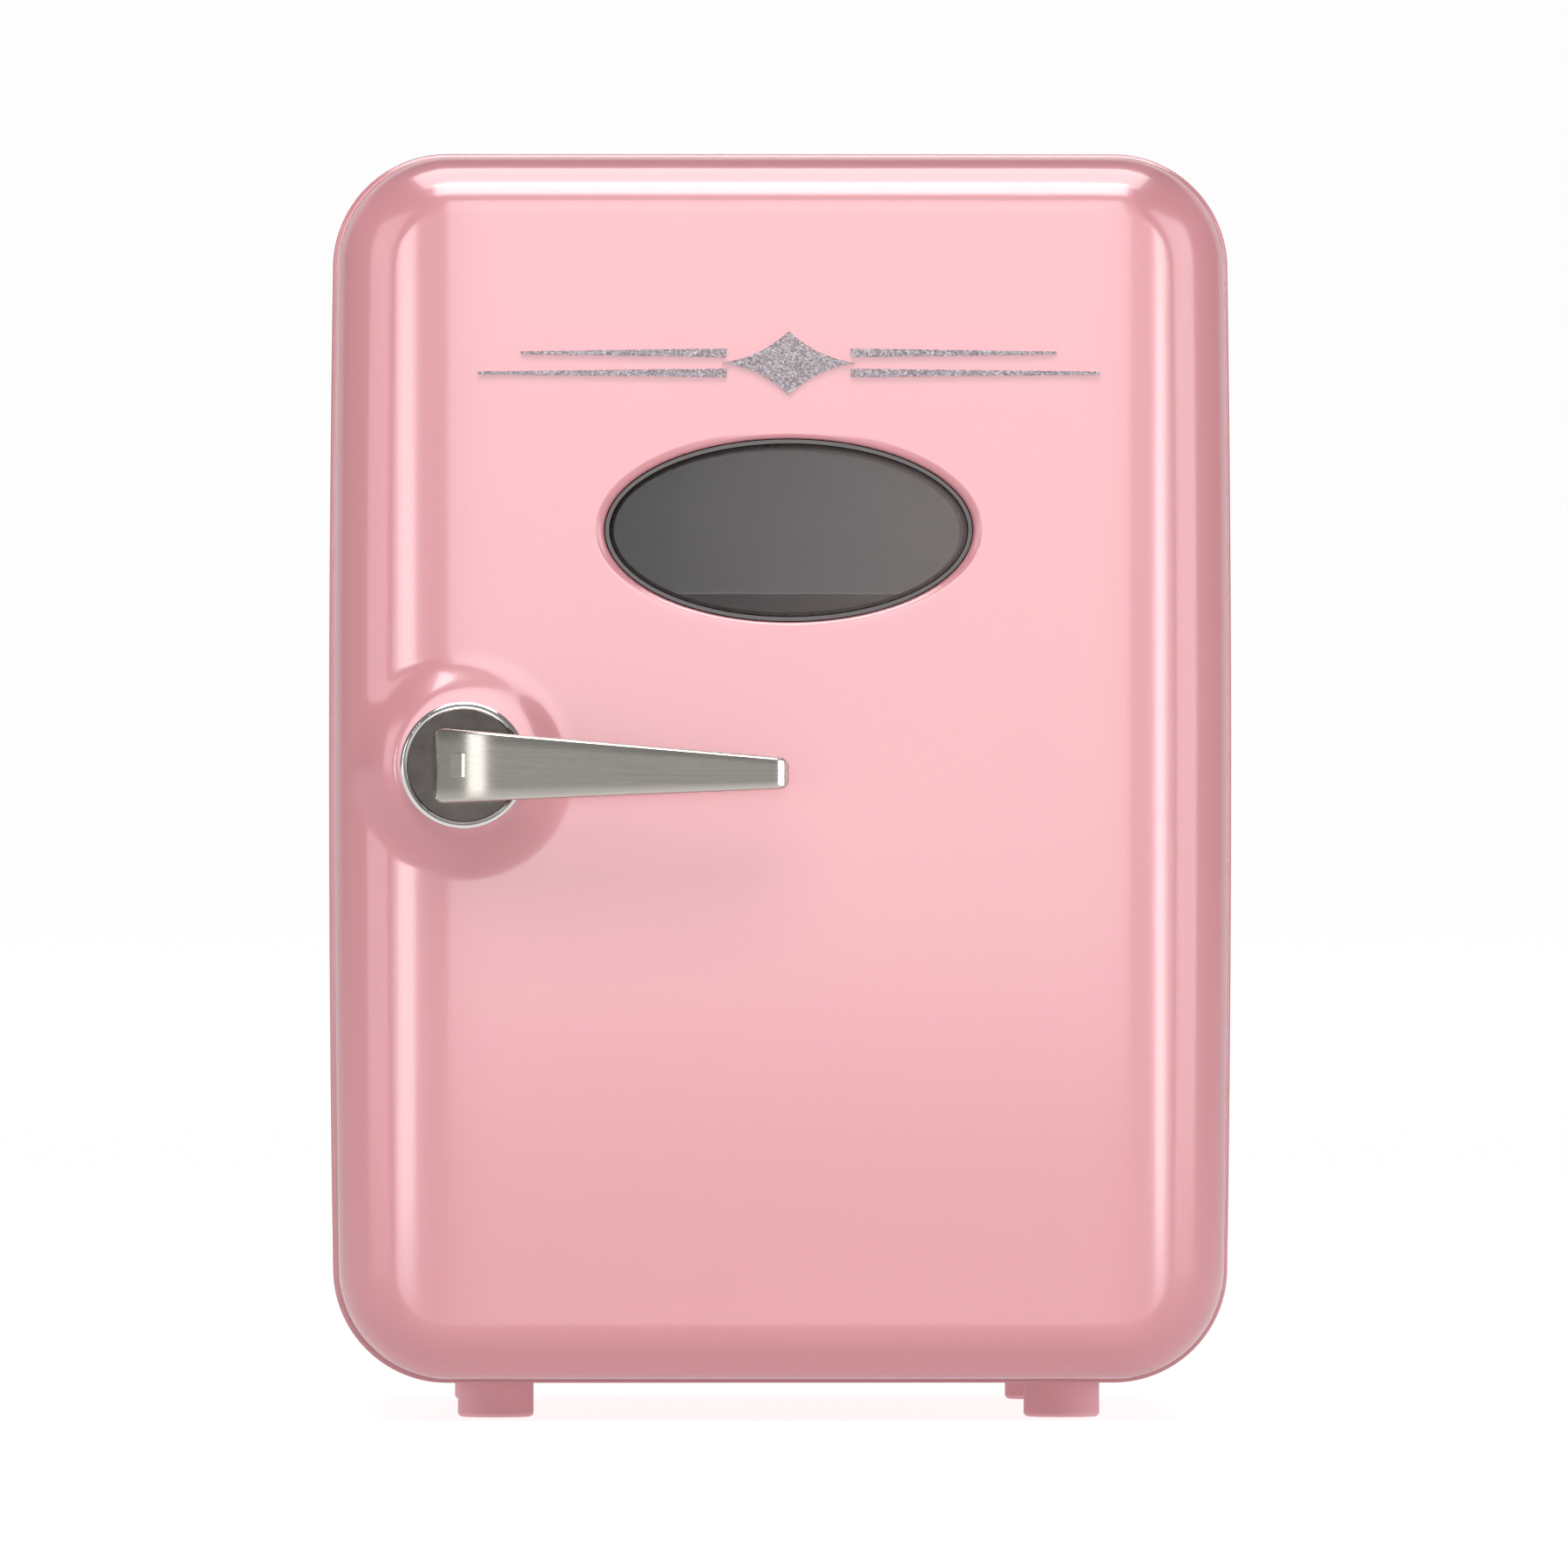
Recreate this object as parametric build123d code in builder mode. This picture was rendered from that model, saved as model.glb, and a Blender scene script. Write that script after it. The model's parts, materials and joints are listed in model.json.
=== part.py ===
from build123d import *
import os
from math import asin, degrees, radians, sin, sqrt

os.makedirs("parts", exist_ok=True)

# Frame: +Z up, front at -Y, +X to the right as seen from the front.
# The origin is on the floor, under the middle of the whole fridge. Millimetres.

# Driving dimensions of the body
body_width = 190.0
body_height = 258.7
foot_height = 7.6
corner_radius = 24.0
side_crown = 1.2  # how far the sides bow out between the top and the bottom
wall = 2.4  # moulded skins
body_top = foot_height + body_height
body_middle = foot_height + body_height / 2

# Depths, from the lever at the front to the rear cover
lever_front = -127.0
door_face = -110.0
door_back = -80.5
cabinet_front = -78.5
frame_back = -75.5
liner_back = 62.0
foam_back = 86.0
shell_back = 104.0
cover_back = 127.0

# Door
door_inset = 1.3  # the door's outline inside the cabinet's
face_flat = 58.0  # half width of the flat middle of the face
bow_radius = 95.0  # the face curves back beside the flat middle
door_edge_radius = 12.0
liner_flange = 2.5
plug_back = -74.0  # the raised middle of the door liner reaches into the cavity

# Inside of the cabinet
cavity_width = 140.0
cavity_height = 208.0
cavity_low = 33.0
cavity_radius = 10.0
liner_wall = 2.0
cavity_middle = cavity_low + cavity_height / 2
shelf_low = 169.5
shelf_thick = 3.0

# Hinge: pins inside the door's right edge, arms on the cabinet
hinge_x = 88.8
hinge_y = -86.5
hinge_heights = {"lower": 46.0, "upper": 228.0}
knuckle_radius = 3.0
knuckle_half = 5.0
hinge_pin_radius = 1.5
hinge_clearance = 0.06

# Lever and latch
boss_x = -66.8
lever_z = 137.6
boss_radius = 18.5
boss_front = -112.0
escutcheon_radius = 13.3
pivot_x = -68.5
pivot_y = -117.5
pivot_pin_radius = 0.9
lever_left = -73.2
lever_right = 1.0
lever_root_height = 15.9
lever_tip_height = 6.2
lever_tip_drop = 1.7  # the tip's middle below the root's
tail_reach = 19.5  # from the lever pin back to the tail's round nose
slider_front = -99.6
slider_back = -96.0
slider_right = -57.0
claw_left = -88.2
claw_right = -85.2

# Window
window_x = 1.2
window_z = 186.8
window_half_width = 38.6
window_half_height = 19.2

# Cooling stack, centred behind the cavity
axis_z = 130.0
cold_fan_size = 50.0
hot_fan_size = 60.0
spindle_radius = 1.5
spindle_clearance = 0.06

feet = {
    "front_left": (-59.8, -58.0),
    "front_right": (59.8, -58.0),
    "rear_left": (-59.8, 88.0),
    "rear_right": (59.8, 88.0),
}
cover_posts = [(-84.0, 60.0), (84.0, 60.0), (-84.0, 215.0), (84.0, 215.0)]
board_posts = [(-56.0, 28.0), (56.0, 28.0), (-56.0, 80.0), (56.0, 80.0)]
liner_posts = [(-84.0, 60.0), (-84.0, 215.0), (84.0, 80.0), (84.0, 194.0)]

# Screws: where each group sits, and how far above and below the part's middle
hinge_screw_x = 86.4
hinge_screw_step = 8.5
strike_screw_x = -86.0
strike_screw_step = 8.8
cover_screw_half = 38.0  # corners of the cold fan cover
clamp_screw_half = 25.0

# Rear panel
panel_face = 124.0  # outer face of the recessed panel
panel_z = 34.5
ac_x = 34.0
dc_x = 4.0
grip_z = 238.5
grip_floor = 110.4


def front_plane(y):
    """Plane at depth y that faces the front: sketch x is X, sketch y is Z."""
    return Plane.XZ.offset(-y)


def block(x, y, z, mode=Mode.ADD):
    """Box between the low and high value of each axis."""
    with Locations(((x[0] + x[1]) / 2, (y[0] + y[1]) / 2, (z[0] + z[1]) / 2)):
        Box(x[1] - x[0], y[1] - y[0], z[1] - z[0], mode=mode)


def rod_y(x, z, y, radius, mode=Mode.ADD):
    """Round bar along Y between the two values of y."""
    with Locations((x, (y[0] + y[1]) / 2, z)):
        Cylinder(radius, abs(y[1] - y[0]), rotation=(90, 0, 0), mode=mode)


def rod_z(x, y, z, radius, mode=Mode.ADD):
    """Round bar along Z between the two values of z."""
    with Locations((x, y, (z[0] + z[1]) / 2)):
        Cylinder(radius, z[1] - z[0], mode=mode)


def screw_y(x, z, head_y, tip_y, head_radius, shank_radius, head_height):
    """Pan-head screw along Y, with its bearing face at head_y."""
    outward = 1 if head_y > tip_y else -1
    head_end = head_y + outward * head_height
    rod_y(x, z, sorted((head_y, head_end)), head_radius)
    rod_y(x, z, sorted((head_y, tip_y)), shank_radius)
    block(
        (x - head_radius * 0.7, x + head_radius * 0.7),
        sorted((head_end, head_end - outward * 0.6)),
        (z - 0.4, z + 0.4),
        Mode.SUBTRACT,
    )


def body_outline(inset):
    """Front outline of the cabinet, moved inwards by inset."""
    half = body_width / 2 - inset
    low = foot_height + inset
    high = body_top - inset
    with BuildSketch() as outline:
        with BuildLine():
            left = ThreePointArc((side_crown - half, high), (-half, body_middle), (side_crown - half, low))
            Line(left @ 1, (half - side_crown, low))
            right = ThreePointArc((half - side_crown, low), (half, body_middle), (half - side_crown, high))
            Line(right @ 1, left @ 0)
        make_face()
        fillet(outline.vertices(), corner_radius - inset)
    return outline.sketch


def cavity_outline(offset_out):
    """Rounded rectangle of the cavity, moved outwards by offset_out."""
    with BuildSketch() as outline:
        with Locations((0, cavity_middle)):
            RectangleRounded(
                cavity_width + 2 * offset_out,
                cavity_height + 2 * offset_out,
                cavity_radius + offset_out,
            )
    return outline.sketch


def door_form(inset, back):
    """Solid under the door's domed skin, moved inwards by inset, as far back as y = back."""
    radius = bow_radius - inset
    face = door_face + inset
    reach = body_width / 2 + 5
    sweep_angle = degrees(asin((reach - face_flat) / radius))
    bow_middle = door_face + bow_radius
    with BuildPart() as form:
        with BuildSketch(front_plane(back)):
            add(body_outline(door_inset + inset))
        extrude(amount=back - door_face + 5)
        with BuildSketch(Plane.XY):
            with BuildLine():
                Line((-face_flat, face), (face_flat, face))
                right = CenterArc((face_flat, bow_middle), radius, -90, sweep_angle)
                left = CenterArc((-face_flat, bow_middle), radius, -90, -sweep_angle)
                Polyline(right @ 1, (reach, back + 1), (-reach, back + 1), left @ 1)
            make_face()
        extrude(amount=body_top + 10, mode=Mode.INTERSECT)
        front_edges = (
            form.faces()
            .sort_by(Axis.Y)[0:3]
            .edges()
            .filter_by(lambda edge: abs(abs(edge.center().X) - face_flat) > 0.1)
        )
        fillet(front_edges, door_edge_radius - inset)
    return form.part


def cover_form(inset, front):
    """Solid under the rear cover's skin, moved inwards by inset, as far forward as y = front."""
    with BuildPart() as form:
        with BuildSketch(front_plane(cover_back - inset)):
            add(body_outline(inset))
        extrude(amount=cover_back - inset - front)
        fillet(form.faces().sort_by(Axis.Y)[-1].edges(), 9.0 - inset)
    return form.part


def window_ellipse(inset):
    """Oval of the window, moved inwards by inset."""
    with BuildSketch() as oval:
        with Locations((window_x, window_z)):
            Ellipse(window_half_width - inset, window_half_height - inset)
    return oval.sketch


# ---- Cabinet ----

with BuildPart() as cabinet_shell:
    with BuildSketch(front_plane(shell_back)):
        add(body_outline(0))
        add(body_outline(wall), mode=Mode.SUBTRACT)
    extrude(amount=shell_back - cabinet_front)
    fillet(cabinet_shell.faces().sort_by(Axis.Y)[0].outer_wire().edges(), 0.8)
    for foot_x, foot_y in feet.values():
        rod_z(foot_x, foot_y, (foot_height + wall / 2, foot_height + 10.4), 4.5)
        rod_z(foot_x, foot_y, (foot_height - 1, foot_height + 9.4), 1.6, Mode.SUBTRACT)
    for post_x, post_z in cover_posts:
        rod_y(post_x, post_z, (foam_back + 1, shell_back), 4.5)
        outside = 93.4 if post_x > 0 else -93.4
        block(sorted((post_x, outside)), (foam_back + 1, shell_back), (post_z - 1.5, post_z + 1.5))
        rod_y(post_x, post_z, (foam_back, shell_back + 1), 1.6, Mode.SUBTRACT)
cabinet_shell.part.label = "cabinet_shell"
export_step(cabinet_shell.part, "parts/cabinet_shell.step")

# Ring that closes the wall at the front, with pockets for the strike plate and the hinge arms
strike_z = (lever_z - 11, lever_z + 11)
frame_gap = 0.05
with BuildPart() as front_frame:
    with BuildSketch(front_plane(frame_back)):
        add(body_outline(wall))
        add(cavity_outline(liner_wall + frame_gap), mode=Mode.SUBTRACT)
    extrude(amount=frame_back - cabinet_front)
    block((-92.0, -80.0), (cabinet_front - 1, cabinet_front + 1.5), strike_z, Mode.SUBTRACT)
    block((-90.8, -80.3), (cabinet_front, frame_back + 1), (lever_z - 6, lever_z + 6), Mode.SUBTRACT)
    for height in hinge_heights.values():
        block((81.0, 91.8), (cabinet_front - 1, cabinet_front + 2), (height - 12, height + 12), Mode.SUBTRACT)
        for side in (-hinge_screw_step, hinge_screw_step):
            rod_y(hinge_screw_x, height + side, (cabinet_front, frame_back + 1), 1.0, Mode.SUBTRACT)
    for side in (-strike_screw_step, strike_screw_step):
        rod_y(strike_screw_x, lever_z + side, (cabinet_front, frame_back + 1), 1.0, Mode.SUBTRACT)
front_frame.part.label = "front_frame"
export_step(front_frame.part, "parts/front_frame.step")

cold_half = 30.0  # half size of the square well behind the cavity
with BuildPart() as inner_liner:
    with BuildSketch(front_plane(liner_back)):
        add(cavity_outline(liner_wall))
    extrude(amount=liner_back - cabinet_front)
    with BuildSketch(front_plane(liner_back - liner_wall)):
        add(cavity_outline(0))
    extrude(amount=liner_back - liner_wall - cabinet_front, mode=Mode.SUBTRACT)
    for side in (-1, 1):
        rib_x = sorted((side * (cavity_width / 2 - 3), side * (cavity_width / 2 + 0.5)))
        block(rib_x, (-64, 54), (shelf_low - 2.4, shelf_low - 0.4))
        block(rib_x, (-64, 54), (shelf_low + 3.6, shelf_low + 5.6))
    block((-cold_half, cold_half), (59, 63), (axis_z - cold_half, axis_z + cold_half), Mode.SUBTRACT)
    for screw_x in (-cover_screw_half, cover_screw_half):
        for screw_z in (axis_z - cover_screw_half, axis_z + cover_screw_half):
            rod_y(screw_x, screw_z, (59, 63), 1.2, Mode.SUBTRACT)
inner_liner.part.label = "inner_liner"
export_step(inner_liner.part, "parts/inner_liner.step")

with BuildPart() as insulation:
    with BuildSketch(front_plane(foam_back)):
        add(body_outline(wall))
    extrude(amount=foam_back - frame_back)
    with BuildSketch(front_plane(liner_back)):
        add(cavity_outline(liner_wall))
    extrude(amount=liner_back - frame_back, mode=Mode.SUBTRACT)
    block((-cold_half, cold_half), (61, 80.2), (axis_z - cold_half, axis_z + cold_half), Mode.SUBTRACT)
    block((-20.2, 20.2), (80, foam_back + 1), (axis_z - 20.2, axis_z + 20.2), Mode.SUBTRACT)
    for foot_x, foot_y in feet.values():
        rod_z(foot_x, foot_y, (foot_height, foot_height + 11), 4.8, Mode.SUBTRACT)
    block((-92.0, -78.5), (frame_back - 1, -68), (lever_z - 7, lever_z + 7), Mode.SUBTRACT)
    for height in hinge_heights.values():
        for side in (-hinge_screw_step, hinge_screw_step):
            rod_y(hinge_screw_x, height + side, (frame_back - 1, -64), 1.2, Mode.SUBTRACT)
    for side in (-strike_screw_step, strike_screw_step):
        rod_y(strike_screw_x, lever_z + side, (frame_back - 1, -64), 1.2, Mode.SUBTRACT)
    for screw_x in (-cover_screw_half, cover_screw_half):
        for screw_z in (axis_z - cover_screw_half, axis_z + cover_screw_half):
            rod_y(screw_x, screw_z, (61, 72), 1.2, Mode.SUBTRACT)
    for screw_x in (-clamp_screw_half, clamp_screw_half):
        rod_y(screw_x, axis_z, (60, foam_back + 1), 2.0, Mode.SUBTRACT)
insulation.part.label = "insulation"
export_step(insulation.part, "parts/insulation.step")

vent_radius = 27.0
slot_height = 2.6
with BuildPart() as rear_cover:
    add(cover_form(0, shell_back))
    add(cover_form(wall, shell_back - 1), mode=Mode.SUBTRACT)
    # Lip that locates the cover inside the shell
    with BuildSketch(front_plane(shell_back + 4)):
        add(body_outline(wall - 0.2))
        add(body_outline(wall + 1.8), mode=Mode.SUBTRACT)
    extrude(amount=4)
    with BuildSketch(front_plane(shell_back)):
        add(body_outline(wall + 0.2))
        add(body_outline(wall + 1.8), mode=Mode.SUBTRACT)
    extrude(amount=5)
    for post_x, post_z in cover_posts:
        outside = 94.0 if post_x > 0 else -94.0
        # The lip stops beside each screw post of the shell
        block((min(post_x, outside) - 5, max(post_x, outside) + 5), (shell_back - 6, shell_back),
              (post_z - 5, post_z + 5), Mode.SUBTRACT)
        rod_y(post_x, post_z, (shell_back, cover_back - 1), 4.5)
        block(sorted((post_x, outside - 1.2 if outside > 0 else outside + 1.2)),
              (shell_back, cover_back - 8), (post_z - 1.5, post_z + 1.5))
        rod_y(post_x, post_z, (shell_back - 1, cover_back + 1), 1.7, Mode.SUBTRACT)
        rod_y(post_x, post_z, (cover_back - 8, cover_back + 1), 3.3, Mode.SUBTRACT)
    for post_x, post_z in board_posts:
        rod_y(post_x, post_z, (97.6, cover_back - 1), 3.0)
        rod_y(post_x, post_z, (96, 106), 1.2, Mode.SUBTRACT)
    # Grip recess for the fingers of one hand, near the top
    block((-47.0, 47.0), (grip_floor - 2, cover_back - 1), (grip_z - 13.5, grip_z + 13.5))
    with BuildSketch(front_plane(cover_back + 1)):
        with Locations((0, grip_z)):
            RectangleRounded(90, 22.6, 6)
    extrude(amount=cover_back + 1 - grip_floor, mode=Mode.SUBTRACT)
    # Recessed panel for the inlets and the switch
    block((-55.0, 55.0), (panel_face - wall, cover_back - 1), (panel_z - 14.5, panel_z + 14.5))
    with BuildSketch(front_plane(cover_back + 1)):
        with Locations((0, panel_z)):
            RectangleRounded(105, 24, 4)
    extrude(amount=cover_back + 1 - panel_face, mode=Mode.SUBTRACT)
    block((ac_x - 12, ac_x + 12), (panel_face - 4, panel_face + 2), (panel_z - 8, panel_z + 8), Mode.SUBTRACT)
    rod_y(dc_x, panel_z, (panel_face - 4, panel_face + 2), 7.0, Mode.SUBTRACT)
    block((-45.0, -21.0), (panel_face - 4, panel_face + 2), (panel_z - 6, panel_z + 6), Mode.SUBTRACT)
    # Air inlet in front of the hot fan, and outlets beside it
    with BuildSketch(front_plane(cover_back + 1)):
        for row in range(-5, 6):
            slot_length = 2 * sqrt(vent_radius**2 - (row * 4.8) ** 2)
            with Locations((0, axis_z + row * 4.8)):
                SlotOverall(slot_length, slot_height)
        with GridLocations(126, 6.6, 2, 11):
            with Locations((0, axis_z)):
                SlotOverall(30, slot_height)
    extrude(amount=6, mode=Mode.SUBTRACT)
rear_cover.part.label = "rear_cover"
export_step(rear_cover.part, "parts/rear_cover.step")

with BuildPart() as rear_cover_screws:
    for post_x, post_z in cover_posts:
        screw_y(post_x, post_z, cover_back - 8, 90, 3.0, 1.6, 2.2)
rear_cover_screws.part.label = "rear_cover_screws"
export_step(rear_cover_screws.part, "parts/rear_cover_screws.step")

for foot_name, (foot_x, foot_y) in feet.items():
    with BuildPart() as foot:
        with BuildSketch(Plane.XY):
            with Locations((foot_x, foot_y)):
                Circle(8.0)
        extrude(amount=foot_height)
        fillet(foot.edges().group_by(Axis.Z)[0], 1.0)
        fillet(foot.edges().group_by(Axis.Z)[-1], 0.4)
        with Locations(Plane(origin=(foot_x, foot_y, 0), z_dir=(0, 0, -1))):
            CounterBoreHole(1.8, 3.6, 3.4)
    foot.part.label = f"foot_{foot_name}"
    export_step(foot.part, f"parts/foot_{foot_name}.step")

with BuildPart() as foot_screws:
    for foot_x, foot_y in feet.values():
        rod_z(foot_x, foot_y, (1.2, 3.4), 3.2)
        rod_z(foot_x, foot_y, (3.4, foot_height + 8.4), 1.6)
foot_screws.part.label = "foot_screws"
export_step(foot_screws.part, "parts/foot_screws.step")

for hinge_name, height in hinge_heights.items():
    with BuildPart() as hinge_arm:
        block((81.2, 91.6), (cabinet_front, cabinet_front + 2), (height - 11.8, height + 11.8))
        block(
            (hinge_x - 2.4, hinge_x + 2.4),
            (hinge_y, cabinet_front + 1),
            (height - knuckle_half, height + knuckle_half),
        )
        rod_z(hinge_x, hinge_y, (height - knuckle_half, height + knuckle_half), knuckle_radius)
        rod_z(
            hinge_x, hinge_y, (height - 9, height + 9), hinge_pin_radius + hinge_clearance, Mode.SUBTRACT
        )
        for side in (-hinge_screw_step, hinge_screw_step):
            rod_y(hinge_screw_x, height + side, (cabinet_front - 1, cabinet_front + 3), 1.2, Mode.SUBTRACT)
            rod_y(hinge_screw_x, height + side, (cabinet_front - 1, cabinet_front + 1), 2.2, Mode.SUBTRACT)
    hinge_arm.part.label = f"hinge_arm_{hinge_name}"
    export_step(hinge_arm.part, f"parts/hinge_arm_{hinge_name}.step")

with BuildPart() as hinge_screws:
    for height in hinge_heights.values():
        for side in (-hinge_screw_step, hinge_screw_step):
            screw_y(hinge_screw_x, height + side, cabinet_front + 1, -65, 2.0, 1.0, 0.9)
hinge_screws.part.label = "hinge_screws"
export_step(hinge_screws.part, "parts/hinge_screws.step")

with BuildPart() as strike_plate:
    block((-91.8, -80.2), (cabinet_front, cabinet_front + 1.5), (lever_z - 10.8, lever_z + 10.8))
    mouth_z = (lever_z - 5.6, lever_z + 5.6)
    block((-88.7, -80.5), (cabinet_front - 1, cabinet_front + 2), mouth_z, Mode.SUBTRACT)
    for side in (-strike_screw_step, strike_screw_step):
        rod_y(strike_screw_x, lever_z + side, (cabinet_front - 1, cabinet_front + 3), 1.1, Mode.SUBTRACT)
        rod_y(strike_screw_x, lever_z + side, (cabinet_front - 1, cabinet_front + 0.8), 1.9, Mode.SUBTRACT)
strike_plate.part.label = "strike_plate"
export_step(strike_plate.part, "parts/strike_plate.step")

with BuildPart() as strike_screws:
    for side in (-strike_screw_step, strike_screw_step):
        screw_y(strike_screw_x, lever_z + side, cabinet_front + 0.8, -65, 1.7, 1.0, 0.7)
strike_screws.part.label = "strike_screws"
export_step(strike_screws.part, "parts/strike_screws.step")

# ---- Door ----

door_outer = door_form(0, door_back)
door_hollow = door_form(wall, door_back + 1)

with BuildPart() as door_shell:
    add(door_outer)
    add(door_hollow, mode=Mode.SUBTRACT)
    # Round boss under the lever, hollow behind
    with BuildSketch(front_plane(-101)):
        with Locations((boss_x, lever_z)):
            Circle(boss_radius + 1.0)
    extrude(amount=-101 - boss_front, taper=6)
    fillet(door_shell.faces().sort_by(Axis.Y)[0].edges(), 1.5)
    rod_y(boss_x, lever_z, (boss_front + 2.4, -100), 14.5, Mode.SUBTRACT)
    rod_y(boss_x, lever_z, (boss_front - 1, -105), 9.5, Mode.SUBTRACT)
    # Lugs that hold the hinge pins above and below each arm
    for height in hinge_heights.values():
        block((82.5, 91.8), (-92.4, door_back - 3), (height - 13, height + 13))
        block((84.8, 97), (-90.9, door_back + 1), (height - 5.4, height + 5.4), Mode.SUBTRACT)
        rod_z(hinge_x, hinge_y, (height - 11, height + 11), hinge_pin_radius, Mode.SUBTRACT)
    # Window
    with BuildSketch(front_plane(door_back)):
        add(window_ellipse(0))
    extrude(amount=door_back - door_face + 5, mode=Mode.SUBTRACT)
    # Screw posts for the door liner
    for post_x, post_z in liner_posts:
        rod_y(post_x, post_z, (-105, door_back - liner_flange), 4.0)
        outside = 92.2 if post_x > 0 else -92.2
        block(sorted((post_x, outside)), (-98, door_back - liner_flange), (post_z - 1.5, post_z + 1.5))
        rod_y(post_x, post_z, (-96, door_back), 1.2, Mode.SUBTRACT)
door_shell.part.label = "door_shell"
export_step(door_shell.part, "parts/door_shell.step")

gasket_out = 9.0  # gasket ring, measured outwards from the cavity
gasket_in = 2.0
with BuildPart() as door_liner:
    with BuildSketch(front_plane(door_back)):
        add(body_outline(door_inset + wall + 0.2))
    extrude(amount=liner_flange)
    with BuildSketch(front_plane(plug_back)):
        add(cavity_outline(-4.0))
    extrude(amount=plug_back - (door_back - liner_flange))
    with BuildSketch(front_plane(plug_back - 2)):
        add(cavity_outline(-6.0))
    extrude(amount=10, mode=Mode.SUBTRACT)
    with BuildSketch(front_plane(door_back + 1)):
        add(cavity_outline(gasket_out))
        add(cavity_outline(gasket_in), mode=Mode.SUBTRACT)
    extrude(amount=2.2, mode=Mode.SUBTRACT)
    with BuildSketch(front_plane(plug_back + 1)):
        add(window_ellipse(2.0))
    extrude(amount=10, mode=Mode.SUBTRACT)
    block((-89.2, -80.0), (-84, door_back + 1), (lever_z - 5.6, lever_z + 5.6), Mode.SUBTRACT)
    for height in hinge_heights.values():
        block((82.3, 97), (-84, door_back + 1), (height - 13.2, height + 13.2), Mode.SUBTRACT)
    for post_x, post_z in liner_posts:
        rod_y(post_x, post_z, (-84, door_back + 1), 1.3, Mode.SUBTRACT)
        rod_y(post_x, post_z, (door_back - 1.2, door_back + 1), 2.3, Mode.SUBTRACT)
door_liner.part.label = "door_liner"
export_step(door_liner.part, "parts/door_liner.step")

# Soft magnetic ring between the door liner and the cabinet
with BuildPart() as door_gasket:
    with BuildSketch(front_plane(cabinet_front - 0.15)):
        add(cavity_outline(gasket_out - 0.2))
        add(cavity_outline(gasket_in + 0.2), mode=Mode.SUBTRACT)
    extrude(amount=cabinet_front - 0.15 - (door_back - 1.2))
    fillet(door_gasket.faces().sort_by(Axis.Y)[-1].edges(), 0.5)
door_gasket.part.label = "door_gasket"
export_step(door_gasket.part, "parts/door_gasket.step")

housing_x = (-89.3, -43.6)
housing_z = (lever_z - 9.0, lever_z + 9.0)
housing_y = (-100.0, door_back - liner_flange)
sleeve_back = plug_back - 4.2
sleeve_wall = 1.8
with BuildPart() as door_insulation:
    add(door_form(wall + 0.2, door_back - liner_flange))
    with BuildSketch(front_plane(door_back)):
        add(window_ellipse(0))
    extrude(amount=30, mode=Mode.SUBTRACT)
    rod_y(boss_x, lever_z, (-112, -99.8), 20.5, Mode.SUBTRACT)
    block((-93, housing_x[1] + 0.2), (-112, -80), (housing_z[0] - 0.2, housing_z[1] + 0.2), Mode.SUBTRACT)
    for height in hinge_heights.values():
        block((82.3, 97), (-110, -80), (height - 13.2, height + 13.2), Mode.SUBTRACT)
    for post_x, post_z in liner_posts:
        outside = 95.0 if post_x > 0 else -95.0
        rod_y(post_x, post_z, (-105.2, -80), 4.2, Mode.SUBTRACT)
        block(sorted((post_x, outside)), (-98.2, -80), (post_z - 1.7, post_z + 1.7), Mode.SUBTRACT)
door_insulation.part.label = "door_insulation"
export_step(door_insulation.part, "parts/door_insulation.step")

with BuildPart() as liner_screws:
    for post_x, post_z in liner_posts:
        screw_y(post_x, post_z, door_back - 1.2, -94, 2.1, 1.2, 0.9)
liner_screws.part.label = "liner_screws"
export_step(liner_screws.part, "parts/liner_screws.step")

for hinge_name, height in hinge_heights.items():
    with BuildPart() as hinge_pin:
        rod_z(hinge_x, hinge_y, (height - 11, height + 11), hinge_pin_radius)
        chamfer(hinge_pin.edges(), 0.3)
    hinge_pin.part.label = f"hinge_pin_{hinge_name}"
    export_step(hinge_pin.part, f"parts/hinge_pin_{hinge_name}.step")

# Oval sleeve that lines the window through the door, stepped for the outer pane
pane_front = -108.9
pane_back = -107.0
with BuildPart() as window_sleeve:
    with BuildSketch(front_plane(sleeve_back)):
        add(window_ellipse(0.2))
    extrude(amount=sleeve_back - (door_face + 0.5))
    with BuildSketch(front_plane(sleeve_back + 1)):
        add(window_ellipse(0.2 + sleeve_wall))
    extrude(amount=40, mode=Mode.SUBTRACT)
    with BuildSketch(front_plane(pane_back)):
        add(window_ellipse(1.0))
    extrude(amount=10, mode=Mode.SUBTRACT)
window_sleeve.part.label = "window_sleeve"
export_step(window_sleeve.part, "parts/window_sleeve.step")

with BuildPart() as window_outer_pane:
    with BuildSketch(front_plane(pane_back)):
        add(window_ellipse(1.05))
    extrude(amount=pane_back - pane_front)
    fillet(window_outer_pane.faces().sort_by(Axis.Y)[0].edges(), 0.5)
window_outer_pane.part.label = "window_outer_pane"
export_step(window_outer_pane.part, "parts/window_outer_pane.step")

with BuildPart() as window_inner_pane:
    with BuildSketch(front_plane(plug_back - 2)):
        add(window_ellipse(-2.2))
    extrude(amount=2.0)
window_inner_pane.part.label = "window_inner_pane"
export_step(window_inner_pane.part, "parts/window_inner_pane.step")

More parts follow.
